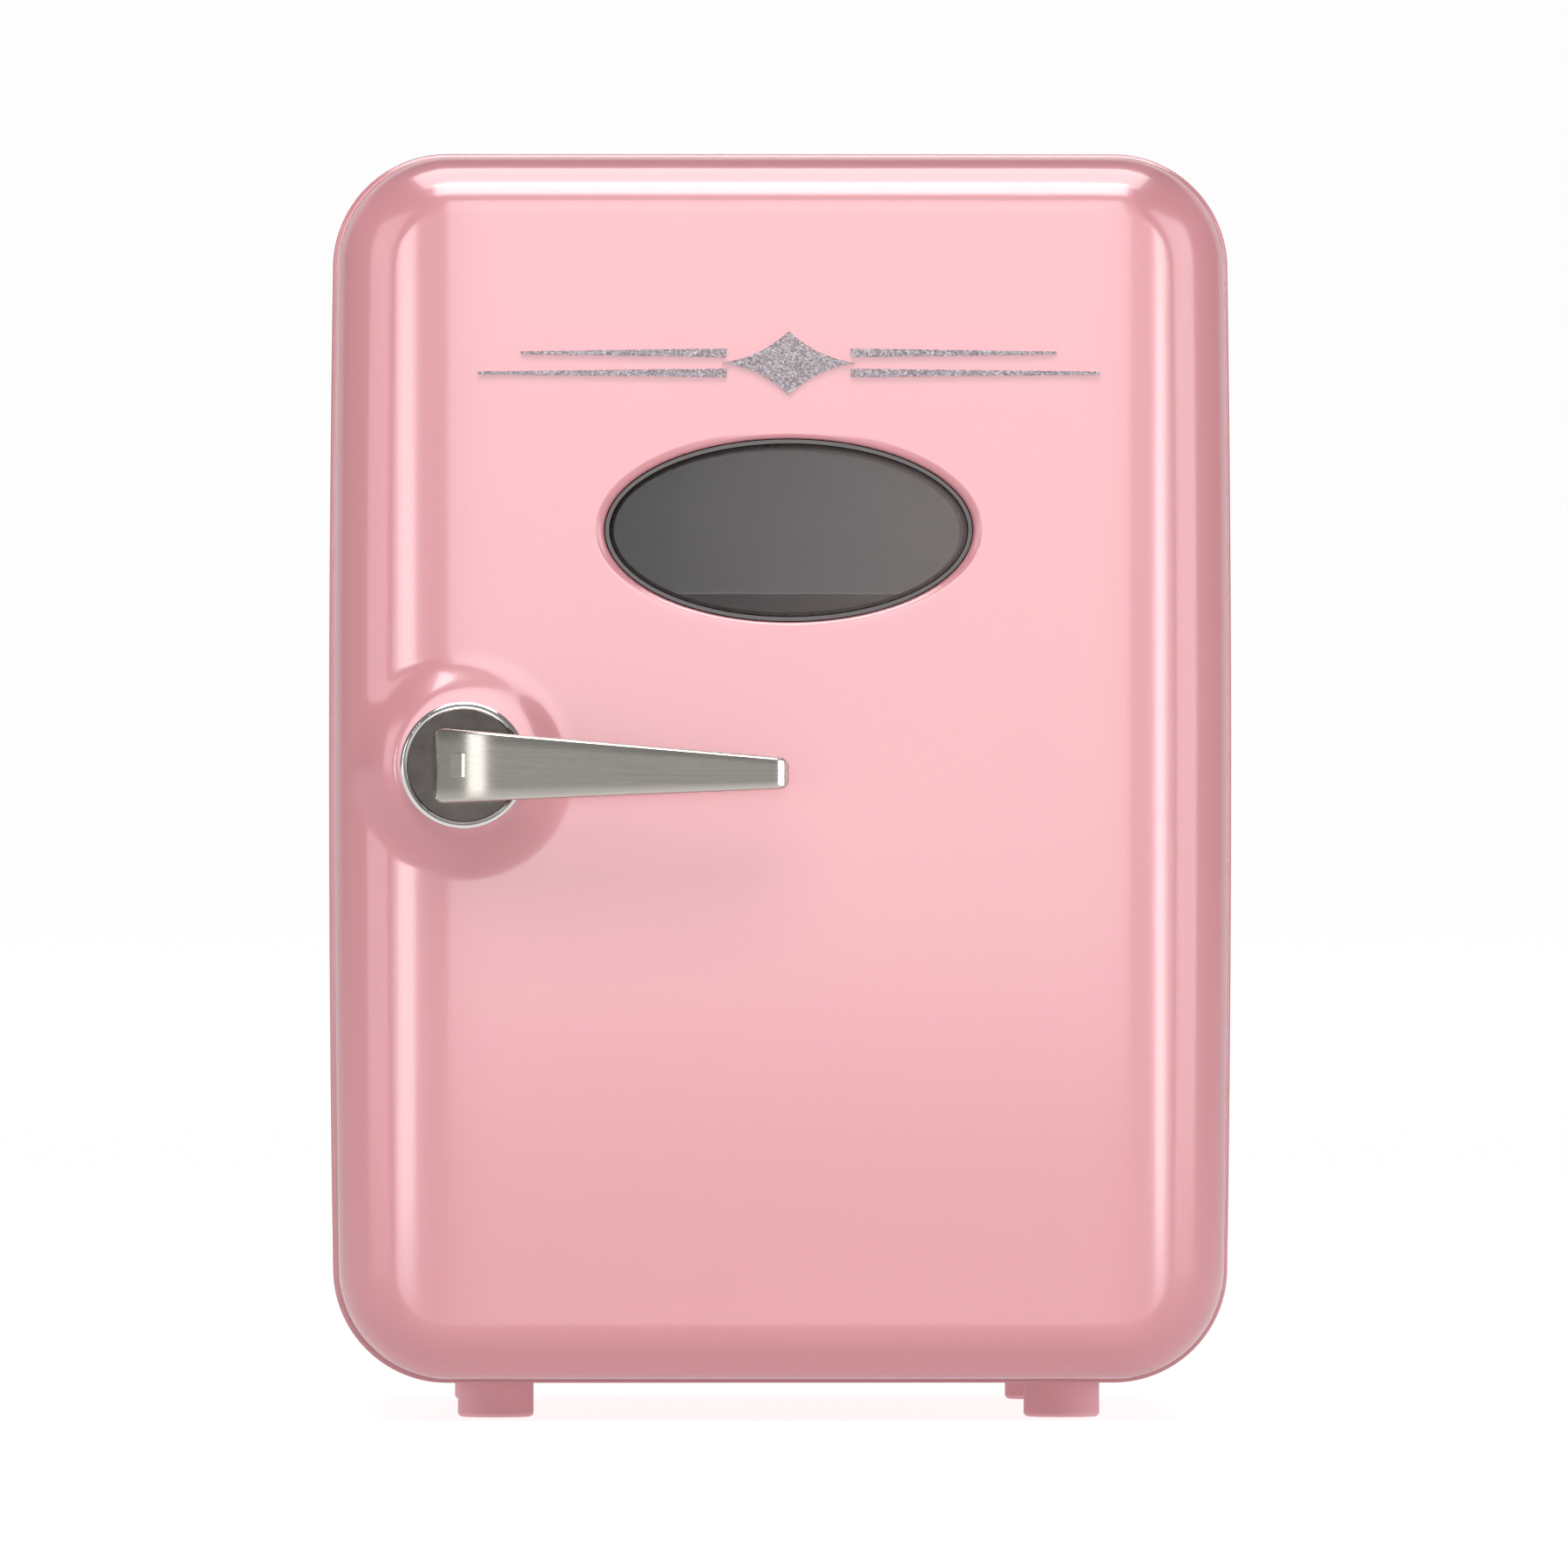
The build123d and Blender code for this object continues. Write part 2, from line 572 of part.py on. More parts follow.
# Badge: a four-pointed star between pairs of tapering speed lines
badge_z = 221.8
star_half_width = 14.0
star_half_height = 6.6
line_start = 13.0
line_end = 65.0
with BuildPart() as badge:
    with BuildSketch(front_plane(door_face + 0.6)):
        with BuildLine():
            tips = [
                (window_x - star_half_width, badge_z),
                (window_x, badge_z + star_half_height),
                (window_x + star_half_width, badge_z),
                (window_x, badge_z - star_half_height),
            ]
            for start, end in zip(tips, tips[1:] + tips[:1]):
                middle = ((start[0] + end[0]) / 2, (start[1] + end[1]) / 2)
                pull = 0.8
                waist = (
                    window_x + (middle[0] - window_x) * pull,
                    badge_z + (middle[1] - badge_z) * pull,
                )
                ThreePointArc(start, waist, end)
        make_face()
        for side in (-1, 1):
            for offset, inner, outer in ((2.1, line_start, line_end - 9), (-2.1, line_start, line_end)):
                Polygon(
                    (window_x + side * inner, badge_z + offset - 0.9),
                    (window_x + side * outer, badge_z + offset - 0.3),
                    (window_x + side * outer, badge_z + offset + 0.3),
                    (window_x + side * inner, badge_z + offset + 0.9),
                    align=None,
                )
    extrude(amount=1.4)
    add(door_outer, mode=Mode.SUBTRACT)
badge.part.label = "badge"
export_step(badge.part, "parts/badge.step")

# ---- Lever and latch ----

plate_front = -113.8
with BuildPart() as escutcheon_ring:
    with BuildSketch(front_plane(boss_front)):
        with Locations((boss_x, lever_z)):
            Circle(escutcheon_radius)
            Circle(escutcheon_radius - 1.6, mode=Mode.SUBTRACT)
    extrude(amount=3.0)
    fillet(escutcheon_ring.faces().sort_by(Axis.Y)[0].edges(), 0.7)
escutcheon_ring.part.label = "escutcheon_ring"
export_step(escutcheon_ring.part, "parts/escutcheon_ring.step")

# Dark plate with two ears that carry the lever's pin
with BuildPart() as escutcheon_plate:
    rod_y(boss_x, lever_z, (plate_front, boss_front), escutcheon_radius - 1.65)
    rod_y(boss_x, lever_z, (boss_front, boss_front + 2.4), 9.4)
    for side in (-1, 1):
        ear_z = sorted((lever_z + side * 3.0, lever_z + side * 5.6))
        block((pivot_x - 2.2, pivot_x + 2.2), (pivot_y, plate_front), ear_z)
        rod_z(pivot_x, pivot_y, ear_z, 2.2)
    block((pivot_x - 1.7, pivot_x + 2.9), (-114, -109), (lever_z - 2.7, lever_z + 2.7), Mode.SUBTRACT)
    rod_z(pivot_x, pivot_y, (lever_z - 9, lever_z + 9), pivot_pin_radius, Mode.SUBTRACT)
escutcheon_plate.part.label = "escutcheon_plate"
export_step(escutcheon_plate.part, "parts/escutcheon_plate.step")

with BuildPart() as lever_pin:
    rod_z(pivot_x, pivot_y, (lever_z - 7.4, lever_z + 7.4), pivot_pin_radius)
lever_pin.part.label = "lever_pin"
export_step(lever_pin.part, "parts/lever_pin.step")

lever_thick = 2.2
bend_width = 15.0
bend_depth = 11.0
bend_x = lever_left + bend_width
bend_y = lever_front + bend_depth
tip_bend = 3.2
tip_back = -122.4
root_back = -115.2
root_wall = 1.6
cheek_right = -60.0


def bend_region(inset):
    """Seen from above: the space inside the lever's bend, moved inwards by inset, as far right as the cheeks."""
    width = bend_width - inset
    depth = bend_depth - inset * lever_thick / root_wall
    with BuildSketch() as region:
        with BuildLine():
            arc = EllipticalCenterArc((bend_x, bend_y), width, depth, start_angle=180, arc_size=90)
            left, front = sorted((arc @ 0, arc @ 1), key=lambda end: end.X)
            Polyline(front, (cheek_right, root_back), (left.X, root_back), left)
        make_face()
    return region.sketch


with BuildPart() as lever:
    # Strip seen from above: out of the escutcheon, round the bend, along the door, back at the tip
    with BuildSketch(Plane.XY.offset(lever_z - 10)):
        with BuildLine():
            EllipticalCenterArc((bend_x, bend_y), bend_width, bend_depth, start_angle=180, arc_size=90)
            outer_tip = FilletPolyline(
                (bend_x, lever_front),
                (lever_right, lever_front),
                (lever_right, tip_back),
                radius=tip_bend,
            )
            inner_tip = FilletPolyline(
                (bend_x, lever_front + lever_thick),
                (lever_right - lever_thick, lever_front + lever_thick),
                (lever_right - lever_thick, tip_back),
                radius=tip_bend - 2.0,
            )
            Line(outer_tip @ 1, inner_tip @ 1)
            EllipticalCenterArc(
                (bend_x, bend_y),
                bend_width - root_wall,
                bend_depth - lever_thick,
                start_angle=180,
                arc_size=90,
            )
            Polyline(
                (lever_left, bend_y),
                (lever_left, root_back),
                (lever_left + root_wall, root_back),
                (lever_left + root_wall, bend_y),
            )
        make_face()
    extrude(amount=20)
    # Cheeks that close the root above and below the pin
    with BuildSketch(Plane.XY.offset(lever_z - 10)):
        add(bend_region(0.8))
    extrude(amount=20)
    with BuildSketch(Plane.XY.offset(lever_z - 5.9)):
        add(bend_region(root_wall))
        with Locations((cheek_right, (lever_front + lever_thick + root_back) / 2)):
            Rectangle(8, root_back - lever_front - lever_thick)
    extrude(amount=11.8, mode=Mode.SUBTRACT)
    # Outline seen from the front: tapers from the root to the tip
    with BuildSketch(front_plane(-95)):
        with BuildLine():
            Polyline(
                (lever_left - 1, lever_z - lever_root_height / 2),
                (lever_right + 1, lever_z - lever_tip_drop - lever_tip_height / 2),
                (lever_right + 1, lever_z - lever_tip_drop + lever_tip_height / 2),
                (lever_left - 1, lever_z + lever_root_height / 2),
                close=True,
            )
        make_face()
    extrude(amount=40, mode=Mode.INTERSECT)
    # Tail that works the latch, between the two ears
    with BuildSketch(Plane.XY.offset(lever_z - 2.4)):
        with BuildLine():
            Polyline(
                (pivot_x - 1.2, pivot_y + tail_reach),
                (pivot_x - 1.2, lever_front + 1.5),
                (pivot_x + 1.2, lever_front + 1.5),
                (pivot_x + 1.2, pivot_y + tail_reach),
                close=True,
            )
        make_face()
        with Locations((pivot_x, pivot_y)):
            Circle(2.2)
        with Locations((pivot_x, pivot_y + tail_reach)):
            Circle(1.3)
    extrude(amount=4.8)
    rod_z(pivot_x, pivot_y, (lever_z - 9, lever_z + 9), pivot_pin_radius + 0.05, Mode.SUBTRACT)
lever.part.label = "lever"
export_step(lever.part, "parts/lever.step")

claw_hook = 1.8
claw_end = -72.3
with BuildPart() as latch_slider:
    block((claw_left, slider_right), (slider_front, slider_back), (lever_z - 5, lever_z + 5))
    tail_slot = (pivot_x - 1.8, pivot_x + 1.8)
    block(tail_slot, (slider_front - 1, slider_back + 1), (lever_z - 3, lever_z + 3), Mode.SUBTRACT)
    with BuildSketch(Plane.XY.offset(lever_z - 5)):
        with BuildLine():
            Polyline(
                (claw_right, slider_back - 1),
                (claw_left, slider_back - 1),
                (claw_left, -76.3),
                (claw_left - claw_hook, -76.3),
                (claw_left - claw_hook, -75.2),
                (claw_left + 0.6, claw_end),
                (claw_right, claw_end),
                close=True,
            )
        make_face()
    extrude(amount=10)
latch_slider.part.label = "latch_slider"
export_step(latch_slider.part, "parts/latch_slider.step")

spring_end = housing_x[1] - 1.6
with BuildPart() as latch_housing:
    block(housing_x, housing_y, housing_z)
    block((housing_x[0] + 0.8, spring_end), (housing_y[0] - 1, housing_y[1] - 1.6),
          (housing_z[0] + 1.6, housing_z[1] - 1.6), Mode.SUBTRACT)
    block((-89.2, -80.0), (housing_y[1] - 3, housing_y[1] + 1), (lever_z - 5.6, lever_z + 5.6), Mode.SUBTRACT)
    for side in (-1, 1):
        rib_z = sorted((lever_z + side * 5.3, lever_z + side * 7.6))
        block((housing_x[0] + 0.5, spring_end + 0.2), (slider_back + 0.4, slider_back + 2.0), rib_z)
latch_housing.part.label = "latch_housing"
export_step(latch_housing.part, "parts/latch_housing.step")

spring_length = spring_end - slider_right
with BuildPart() as latch_spring:
    with BuildLine():
        coil = Helix(
            pitch=2.0,
            height=spring_length - 1.0,
            radius=1.3,
            center=(slider_right + 0.5, (slider_front + slider_back) / 2, lever_z),
            direction=(1, 0, 0),
        )
    with BuildSketch(Plane(origin=coil @ 0, z_dir=coil % 0)):
        Circle(0.25)
    sweep(is_frenet=True)
latch_spring.part.label = "latch_spring"
export_step(latch_spring.part, "parts/latch_spring.step")

# ---- Shelf ----

with BuildPart() as shelf:
    block((-69.2, 69.2), (-61, 48), (shelf_low, shelf_low + shelf_thick))
    block((-66.0, 66.0), (-62, -59), (shelf_low - 1.6, shelf_low + shelf_thick + 1.6))
    with BuildSketch(Plane.XY.offset(shelf_low - 5)):
        with Locations((0, -5)):
            with GridLocations(44, 9.0, 3, 10):
                SlotOverall(38, 4.4)
    extrude(amount=10, mode=Mode.SUBTRACT)
shelf.part.label = "shelf"
export_step(shelf.part, "parts/shelf.step")

# ---- Cooling ----

with BuildPart() as cold_fan_cover:
    block((-42, 42), (51, 60), (axis_z - 42, axis_z + 42))
    fillet(cold_fan_cover.edges().filter_by(Axis.Y), 6)
    fillet(cold_fan_cover.faces().sort_by(Axis.Y)[0].edges(), 2)
    with BuildSketch(front_plane(60)):
        with Locations((0, axis_z)):
            RectangleRounded(80, 80, 4)
    extrude(amount=7.2, mode=Mode.SUBTRACT)
    for screw_x in (-cover_screw_half, cover_screw_half):
        for screw_z in (axis_z - cover_screw_half, axis_z + cover_screw_half):
            rod_y(screw_x, screw_z, (51.5, 60), 3.0)
            rod_y(screw_x, screw_z, (50, 62), 1.3, Mode.SUBTRACT)
    with BuildSketch(front_plane(61)):
        for row in range(-4, 5):
            with Locations((0, axis_z + row * 5.0)):
                SlotOverall(2 * sqrt(23**2 - (row * 5.0) ** 2), 2.6)
        with GridLocations(60, 5, 2, 9):
            with Locations((0, axis_z)):
                SlotOverall(9, 2.6)
    extrude(amount=12, mode=Mode.SUBTRACT)
cold_fan_cover.part.label = "cold_fan_cover"
export_step(cold_fan_cover.part, "parts/cold_fan_cover.step")

with BuildPart() as cold_cover_screws:
    for screw_x in (-cover_screw_half, cover_screw_half):
        for screw_z in (axis_z - cover_screw_half, axis_z + cover_screw_half):
            screw_y(screw_x, screw_z, 51, 70, 2.2, 1.2, 1.0)
cold_cover_screws.part.label = "cold_cover_screws"
export_step(cold_cover_screws.part, "parts/cold_cover_screws.step")


def fan_frame(size, front, depth, hub_radius):
    """Square fan frame with a round duct, a hub disc on four struts and a spindle."""
    duct = size / 2 - 1.4
    screw_pitch = size - 10
    with BuildPart() as frame:
        block((-size / 2, size / 2), (front, front + depth), (axis_z - size / 2, axis_z + size / 2))
        fillet(frame.edges().filter_by(Axis.Y), 3)
        rod_y(0, axis_z, (front - 1, front + depth + 1), duct, Mode.SUBTRACT)
        with BuildSketch(front_plane(front + depth)):
            with Locations((0, axis_z)):
                Circle(hub_radius)
                with PolarLocations(0, 4, start_angle=45):
                    with Locations(((hub_radius + duct) / 2, 0)):
                        Rectangle(duct - hub_radius + 3, 2.4)
        extrude(amount=1.6)
        rod_y(0, axis_z, (front + 3, front + depth - 1), spindle_radius)
        with BuildSketch(front_plane(front + depth + 1)):
            with Locations((0, axis_z)):
                with GridLocations(screw_pitch, screw_pitch, 2, 2):
                    Circle(1.6)
        extrude(amount=depth + 2, mode=Mode.SUBTRACT)
    return frame.part


blade_pitch = 35.0


def fan_rotor(size, front, depth, hub_radius):
    """Cup-shaped hub with seven pitched blades, open towards the frame's hub disc."""
    tip = size / 2 - 2.4
    back = front + depth - 2.2
    with BuildPart() as rotor:
        for blade in range(7):
            turn = 360 / 7 * blade
            middle = (hub_radius + tip) / 2
            around = Location((0, (front + back) / 2, axis_z), (0, turn, 0))
            place = around * Location((middle, 0, 0), (blade_pitch, 0, 0))
            with Locations(place):
                Box(tip - hub_radius + 2, 1.2, (back - front) / sin(radians(blade_pitch)) * 0.72)
        with BuildSketch(front_plane(back)):
            with Locations((0, axis_z)):
                Circle(tip)
        extrude(amount=back - front - 0.4, mode=Mode.INTERSECT)
        rod_y(0, axis_z, (front + 0.6, back), hub_radius)
        rod_y(0, axis_z, (front + 2.2, back + 1), hub_radius - 1.4, Mode.SUBTRACT)
        rod_y(0, axis_z, (front + 2.0, back), 3.4)
        rod_y(0, axis_z, (front + 1.8, back + 1), spindle_radius + spindle_clearance, Mode.SUBTRACT)
    return rotor.part


cold_fan_front = 54.4
hot_fan_front = 105.6
with BuildPart() as cold_fan_frame:
    add(fan_frame(cold_fan_size, cold_fan_front, 10, 9))
cold_fan_frame.part.label = "cold_fan_frame"
export_step(cold_fan_frame.part, "parts/cold_fan_frame.step")

with BuildPart() as cold_fan_rotor:
    add(fan_rotor(cold_fan_size, cold_fan_front, 10, 9))
cold_fan_rotor.part.label = "cold_fan_rotor"
export_step(cold_fan_rotor.part, "parts/cold_fan_rotor.step")

with BuildPart() as hot_fan_frame:
    add(fan_frame(hot_fan_size, hot_fan_front, 15, 12))
hot_fan_frame.part.label = "hot_fan_frame"
export_step(hot_fan_frame.part, "parts/hot_fan_frame.step")

with BuildPart() as hot_fan_rotor:
    add(fan_rotor(hot_fan_size, hot_fan_front, 15, 12))
hot_fan_rotor.part.label = "hot_fan_rotor"
export_step(hot_fan_rotor.part, "parts/hot_fan_rotor.step")


def finned_sink(half_width, half_height, base, fins, count):
    """Flat base with upright fins; base and fins are (near, far) depths."""
    with BuildPart() as sink:
        block((-half_width, half_width), sorted(base), (axis_z - half_height, axis_z + half_height))
        pitch = (2 * half_width - 1.2) / (count - 1)
        for fin in range(count):
            fin_x = -half_width + 0.6 + fin * pitch
            block((fin_x - 0.6, fin_x + 0.6), sorted(fins), (axis_z - half_height, axis_z + half_height))
    return sink.part


with BuildPart() as cold_heatsink:
    add(finned_sink(29.5, 29.5, (76.6, 80.0), (66.0, 76.6), 13))
    for screw_x in (-clamp_screw_half, clamp_screw_half):
        rod_y(screw_x, axis_z, (64, 82), 1.5, Mode.SUBTRACT)
        rod_y(screw_x, axis_z, (64, 76.6), 2.6, Mode.SUBTRACT)
    with BuildSketch(front_plane(77)):
        with Locations((0, axis_z)):
            with GridLocations(40, 40, 2, 2):
                Circle(2.4)
    extrude(amount=12, mode=Mode.SUBTRACT)
cold_heatsink.part.label = "cold_heatsink"
export_step(cold_heatsink.part, "parts/cold_heatsink.step")

with BuildPart() as cold_block:
    block((-20, 20), (80.0, 84.2), (axis_z - 20, axis_z + 20))
cold_block.part.label = "cold_block"
export_step(cold_block.part, "parts/cold_block.step")

with BuildPart() as thermoelectric_module:
    block((-20, 20), (84.2, 88.0), (axis_z - 20, axis_z + 20))
    chamfer(thermoelectric_module.edges().filter_by(Axis.Y), 1.0)
thermoelectric_module.part.label = "thermoelectric_module"
export_step(thermoelectric_module.part, "parts/thermoelectric_module.step")

with BuildPart() as hot_heatsink:
    add(finned_sink(42.0, 36.0, (88.0, 91.6), (91.6, 105.0), 15))
    for screw_x in (-clamp_screw_half, clamp_screw_half):
        rod_y(screw_x, axis_z, (87, 106), 1.5, Mode.SUBTRACT)
    with BuildSketch(front_plane(106)):
        with Locations((0, axis_z)):
            with GridLocations(50, 50, 2, 2):
                Circle(1.5)
    extrude(amount=15, mode=Mode.SUBTRACT)
hot_heatsink.part.label = "hot_heatsink"
export_step(hot_heatsink.part, "parts/hot_heatsink.step")

with BuildPart() as clamp_screws:
    for screw_x in (-clamp_screw_half, clamp_screw_half):
        rod_y(screw_x, axis_z, (74.6, 76.6), 2.4)
        rod_y(screw_x, axis_z, (76.6, 91.6), 1.5)
clamp_screws.part.label = "clamp_screws"
export_step(clamp_screws.part, "parts/clamp_screws.step")

with BuildPart() as hot_fan_screws:
    for screw_x in (-25, 25):
        for screw_z in (axis_z - 25, axis_z + 25):
            screw_y(screw_x, screw_z, hot_fan_front + 15, 92, 2.8, 1.5, 1.8)
hot_fan_screws.part.label = "hot_fan_screws"
export_step(hot_fan_screws.part, "parts/hot_fan_screws.step")

with BuildPart() as cold_fan_screws:
    for screw_x in (-20, 20):
        for screw_z in (axis_z - 20, axis_z + 20):
            screw_y(screw_x, screw_z, cold_fan_front, 70, 2.6, 1.5, 1.2)
cold_fan_screws.part.label = "cold_fan_screws"
export_step(cold_fan_screws.part, "parts/cold_fan_screws.step")

# ---- Electrics ----

with BuildPart() as power_board:
    block((-62, 62), (96.0, 97.6), (22, 86))
    for post_x, post_z in board_posts:
        rod_y(post_x, post_z, (95, 99), 1.2, Mode.SUBTRACT)
power_board.part.label = "power_board"
export_step(power_board.part, "parts/power_board.step")

with BuildPart() as board_screws:
    for post_x, post_z in board_posts:
        screw_y(post_x, post_z, 96.0, 104, 2.4, 1.2, 1.2)
board_screws.part.label = "board_screws"
export_step(board_screws.part, "parts/board_screws.step")

with BuildPart() as transformer:
    block((-16, 18), (97.6, 117.0), (54, 84))
    block((-9, 11), (97.6, 119.0), (58, 80))
    fillet(transformer.edges().filter_by(Axis.Y), 1.0)
transformer.part.label = "transformer"
export_step(transformer.part, "parts/transformer.step")

with BuildPart() as capacitors:
    for cap_x, cap_z, cap_radius, cap_back in ((34, 66, 8.0, 119), (-32, 74, 5.0, 114), (-32, 60, 5.0, 114)):
        rod_y(cap_x, cap_z, (97.6, cap_back), cap_radius)
    fillet(capacitors.faces().filter_by(Axis.Y).group_by(Axis.Y)[-1].edges(), 0.6)
capacitors.part.label = "capacitors"
export_step(capacitors.part, "parts/capacitors.step")

with BuildPart() as ac_inlet:
    block((ac_x - 11.8, ac_x + 11.8), (104, panel_face + 0.8), (panel_z - 7.8, panel_z + 7.8))
    with BuildSketch(front_plane(panel_face + 1)):
        with Locations((ac_x, panel_z)):
            SlotOverall(15.6, 9.2)
    extrude(amount=13, mode=Mode.SUBTRACT)
    for pin_x in (ac_x - 4.3, ac_x + 4.3):
        rod_y(pin_x, panel_z, (111, 121.5), 1.2)
ac_inlet.part.label = "ac_inlet"
export_step(ac_inlet.part, "parts/ac_inlet.step")

with BuildPart() as dc_inlet:
    rod_y(dc_x, panel_z, (106, panel_face + 0.8), 6.9)
    rod_y(dc_x, panel_z, (112, panel_face + 1), 5.2, Mode.SUBTRACT)
    rod_y(dc_x, panel_z, (111, 121.5), 1.1)
dc_inlet.part.label = "dc_inlet"
export_step(dc_inlet.part, "parts/dc_inlet.step")

with BuildPart() as mode_switch_body:
    block((-44.8, -21.2), (112, panel_face + 0.8), (28.7, 40.3))
    block((-41.5, -24.5), (118, panel_face + 1), (31.6, 37.4), Mode.SUBTRACT)
mode_switch_body.part.label = "mode_switch_body"
export_step(mode_switch_body.part, "parts/mode_switch_body.step")

with BuildPart() as mode_switch_slider:
    block((-37.5, -28.5), (118.3, 122.5), (31.9, 37.1))
    block((-35.5, -30.5), (122.5, 126.2), (31.9, 37.1))
    fillet(mode_switch_slider.faces().sort_by(Axis.Y)[-1].edges(), 0.5)
mode_switch_slider.part.label = "mode_switch_slider"
export_step(mode_switch_slider.part, "parts/mode_switch_slider.step")
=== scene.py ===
# Retro counter-top mini fridge: finishes, visible pieces, studio
import bmesh
import bpy
import itertools
import json
import math
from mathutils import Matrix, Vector, geometry

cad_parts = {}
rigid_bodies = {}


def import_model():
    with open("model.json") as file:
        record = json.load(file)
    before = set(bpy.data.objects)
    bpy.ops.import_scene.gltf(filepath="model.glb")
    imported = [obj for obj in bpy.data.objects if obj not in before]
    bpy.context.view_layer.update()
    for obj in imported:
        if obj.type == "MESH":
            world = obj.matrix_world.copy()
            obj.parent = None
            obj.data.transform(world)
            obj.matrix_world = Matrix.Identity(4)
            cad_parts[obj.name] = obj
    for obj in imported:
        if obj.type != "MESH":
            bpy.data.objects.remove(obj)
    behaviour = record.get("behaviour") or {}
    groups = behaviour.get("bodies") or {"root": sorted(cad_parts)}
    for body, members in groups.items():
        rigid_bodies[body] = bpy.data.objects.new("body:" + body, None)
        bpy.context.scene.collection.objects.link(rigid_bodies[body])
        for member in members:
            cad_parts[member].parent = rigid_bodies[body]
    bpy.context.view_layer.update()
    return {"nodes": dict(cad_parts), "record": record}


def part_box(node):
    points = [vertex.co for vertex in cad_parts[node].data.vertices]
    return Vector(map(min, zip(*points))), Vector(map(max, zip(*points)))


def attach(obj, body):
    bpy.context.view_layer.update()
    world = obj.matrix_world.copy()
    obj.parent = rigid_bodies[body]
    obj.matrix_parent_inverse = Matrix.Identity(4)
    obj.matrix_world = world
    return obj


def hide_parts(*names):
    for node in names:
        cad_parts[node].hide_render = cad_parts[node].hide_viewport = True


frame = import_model()
mm = 0.001
scene = bpy.context.scene


def places(node):
    # lowest and highest corner of a CAD node, in millimetres
    low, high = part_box(node)
    return low / mm, high / mm


class Wire:
    # a shader socket that takes part in sums; each operator adds its Math node
    def __init__(self, finish, socket):
        self.finish = finish
        self.socket = socket

    def maths(self, operation, other):
        return self.finish.node("ShaderNodeMath", {"operation": operation}, {0: self, 1: other})[0]

    def __add__(self, other):
        return self.maths("ADD", other)

    def __mul__(self, other):
        return self.maths("MULTIPLY", other)

    def __pow__(self, other):
        return self.maths("POWER", other)

    __radd__ = __add__
    __rmul__ = __mul__


class Finish:
    # one material and its nodes; fixed values go straight on the shader's sockets
    def __init__(self, name, color, roughness=0.5, metallic=0.0, **fixed):
        self.material = bpy.data.materials.new(name)
        self.material.use_nodes = True
        self.tree = self.material.node_tree
        self.shader = self.tree.nodes["Principled BSDF"]
        self.shader.inputs["Base Color"].default_value = (*color, 1)
        self.shader.inputs["Roughness"].default_value = roughness
        self.shader.inputs["Metallic"].default_value = metallic
        for socket, value in fixed.items():
            self.shader.inputs[socket.replace("_", " ")].default_value = value
        self.coords = None

    def node(self, kind, settings=None, inputs=None):
        made = self.tree.nodes.new(kind)
        for key, value in (settings or {}).items():
            setattr(made, key, value)
        for key, value in (inputs or {}).items():
            if isinstance(value, Wire):
                self.tree.links.new(value.socket, made.inputs[key])
            else:
                made.inputs[key].default_value = value
        return [Wire(self, out) for out in made.outputs]

    def place(self, scale=(1, 1, 1), turn=(0, 0, 0)):
        if self.coords is None:
            self.coords = self.node("ShaderNodeTexCoord")[3]
        values = {0: self.coords, "Scale": scale, "Rotation": turn}
        return self.node("ShaderNodeMapping", None, values)[0]

    def noise(self, scale, detail=2.0, rough=0.5, stretch=(1, 1, 1)):
        values = {"Vector": self.place(stretch), "Scale": scale, "Detail": detail, "Roughness": rough}
        return self.node("ShaderNodeTexNoise", None, values)[0]

    def blend(self, factor, first, second):
        return self.node("ShaderNodeMix", {"data_type": "RGBA"}, {0: factor, 6: first, 7: second})[2]

    def vary(self, factor, color, low, high):
        # base colour between a darker and a lighter tone of one colour
        self.feed("Base Color", self.blend(factor, rgba(color, low), rgba(color, high)))

    def feed(self, socket, wire):
        self.tree.links.new(wire.socket, self.shader.inputs[socket])

    def bump(self, height, strength, distance):
        values = {"Height": height, "Strength": strength, "Distance": distance}
        self.feed("Normal", self.node("ShaderNodeBump", None, values)[0])


def rgba(color, gain=1.0):
    return (*(min(1.0, c * gain) for c in color), 1.0)


paint = {
    "pink": (0.640, 0.268, 0.300),
    "pinkSpread": 0.035,  # how far the colour drifts over the moulding
    "roughness": 0.25,
    "coat": 0.6,
    "coatRoughness": 0.09,
    "peel": 0.012,  # strength of the faint orange peel
}


def glossPink():
    made = Finish("glossPink", paint["pink"], paint["roughness"],
                  Coat_Weight=paint["coat"], Coat_Roughness=paint["coatRoughness"])
    made.vary(made.noise(7.0, 3.0), paint["pink"], 1 - paint["pinkSpread"], 1 + paint["pinkSpread"])
    made.feed("Roughness", made.noise(60.0, 4.0) * 0.016 + (paint["roughness"] - 0.008))
    made.bump(made.noise(240.0, 0.0), paint["peel"], 0.0004)
    return made.material


def mattPink():
    # the rear cover: fine spark-eroded texture
    made = Finish("mattPink", paint["pink"], 0.5)
    grain = made.noise(2600.0, 2.0)
    made.vary(made.noise(9.0), paint["pink"], 0.94, 1.02)
    made.feed("Roughness", grain * 0.14 + 0.42)
    made.bump(grain, 0.25, 0.0003)
    return made.material


def litFootRubber():
    # a lighter copy of the body's pink: painted light standing in for the shade under the body
    color = (0.98, 0.52, 0.57)
    made = Finish("litFootRubber", color, 0.48)
    scuff = made.noise(900.0, 3.0)
    made.vary(made.noise(120.0, 3.0), color, 0.93, 1.06)
    made.feed("Roughness", scuff * 0.2 + 0.38)
    made.bump(scuff, 0.12, 0.0002)
    return made.material


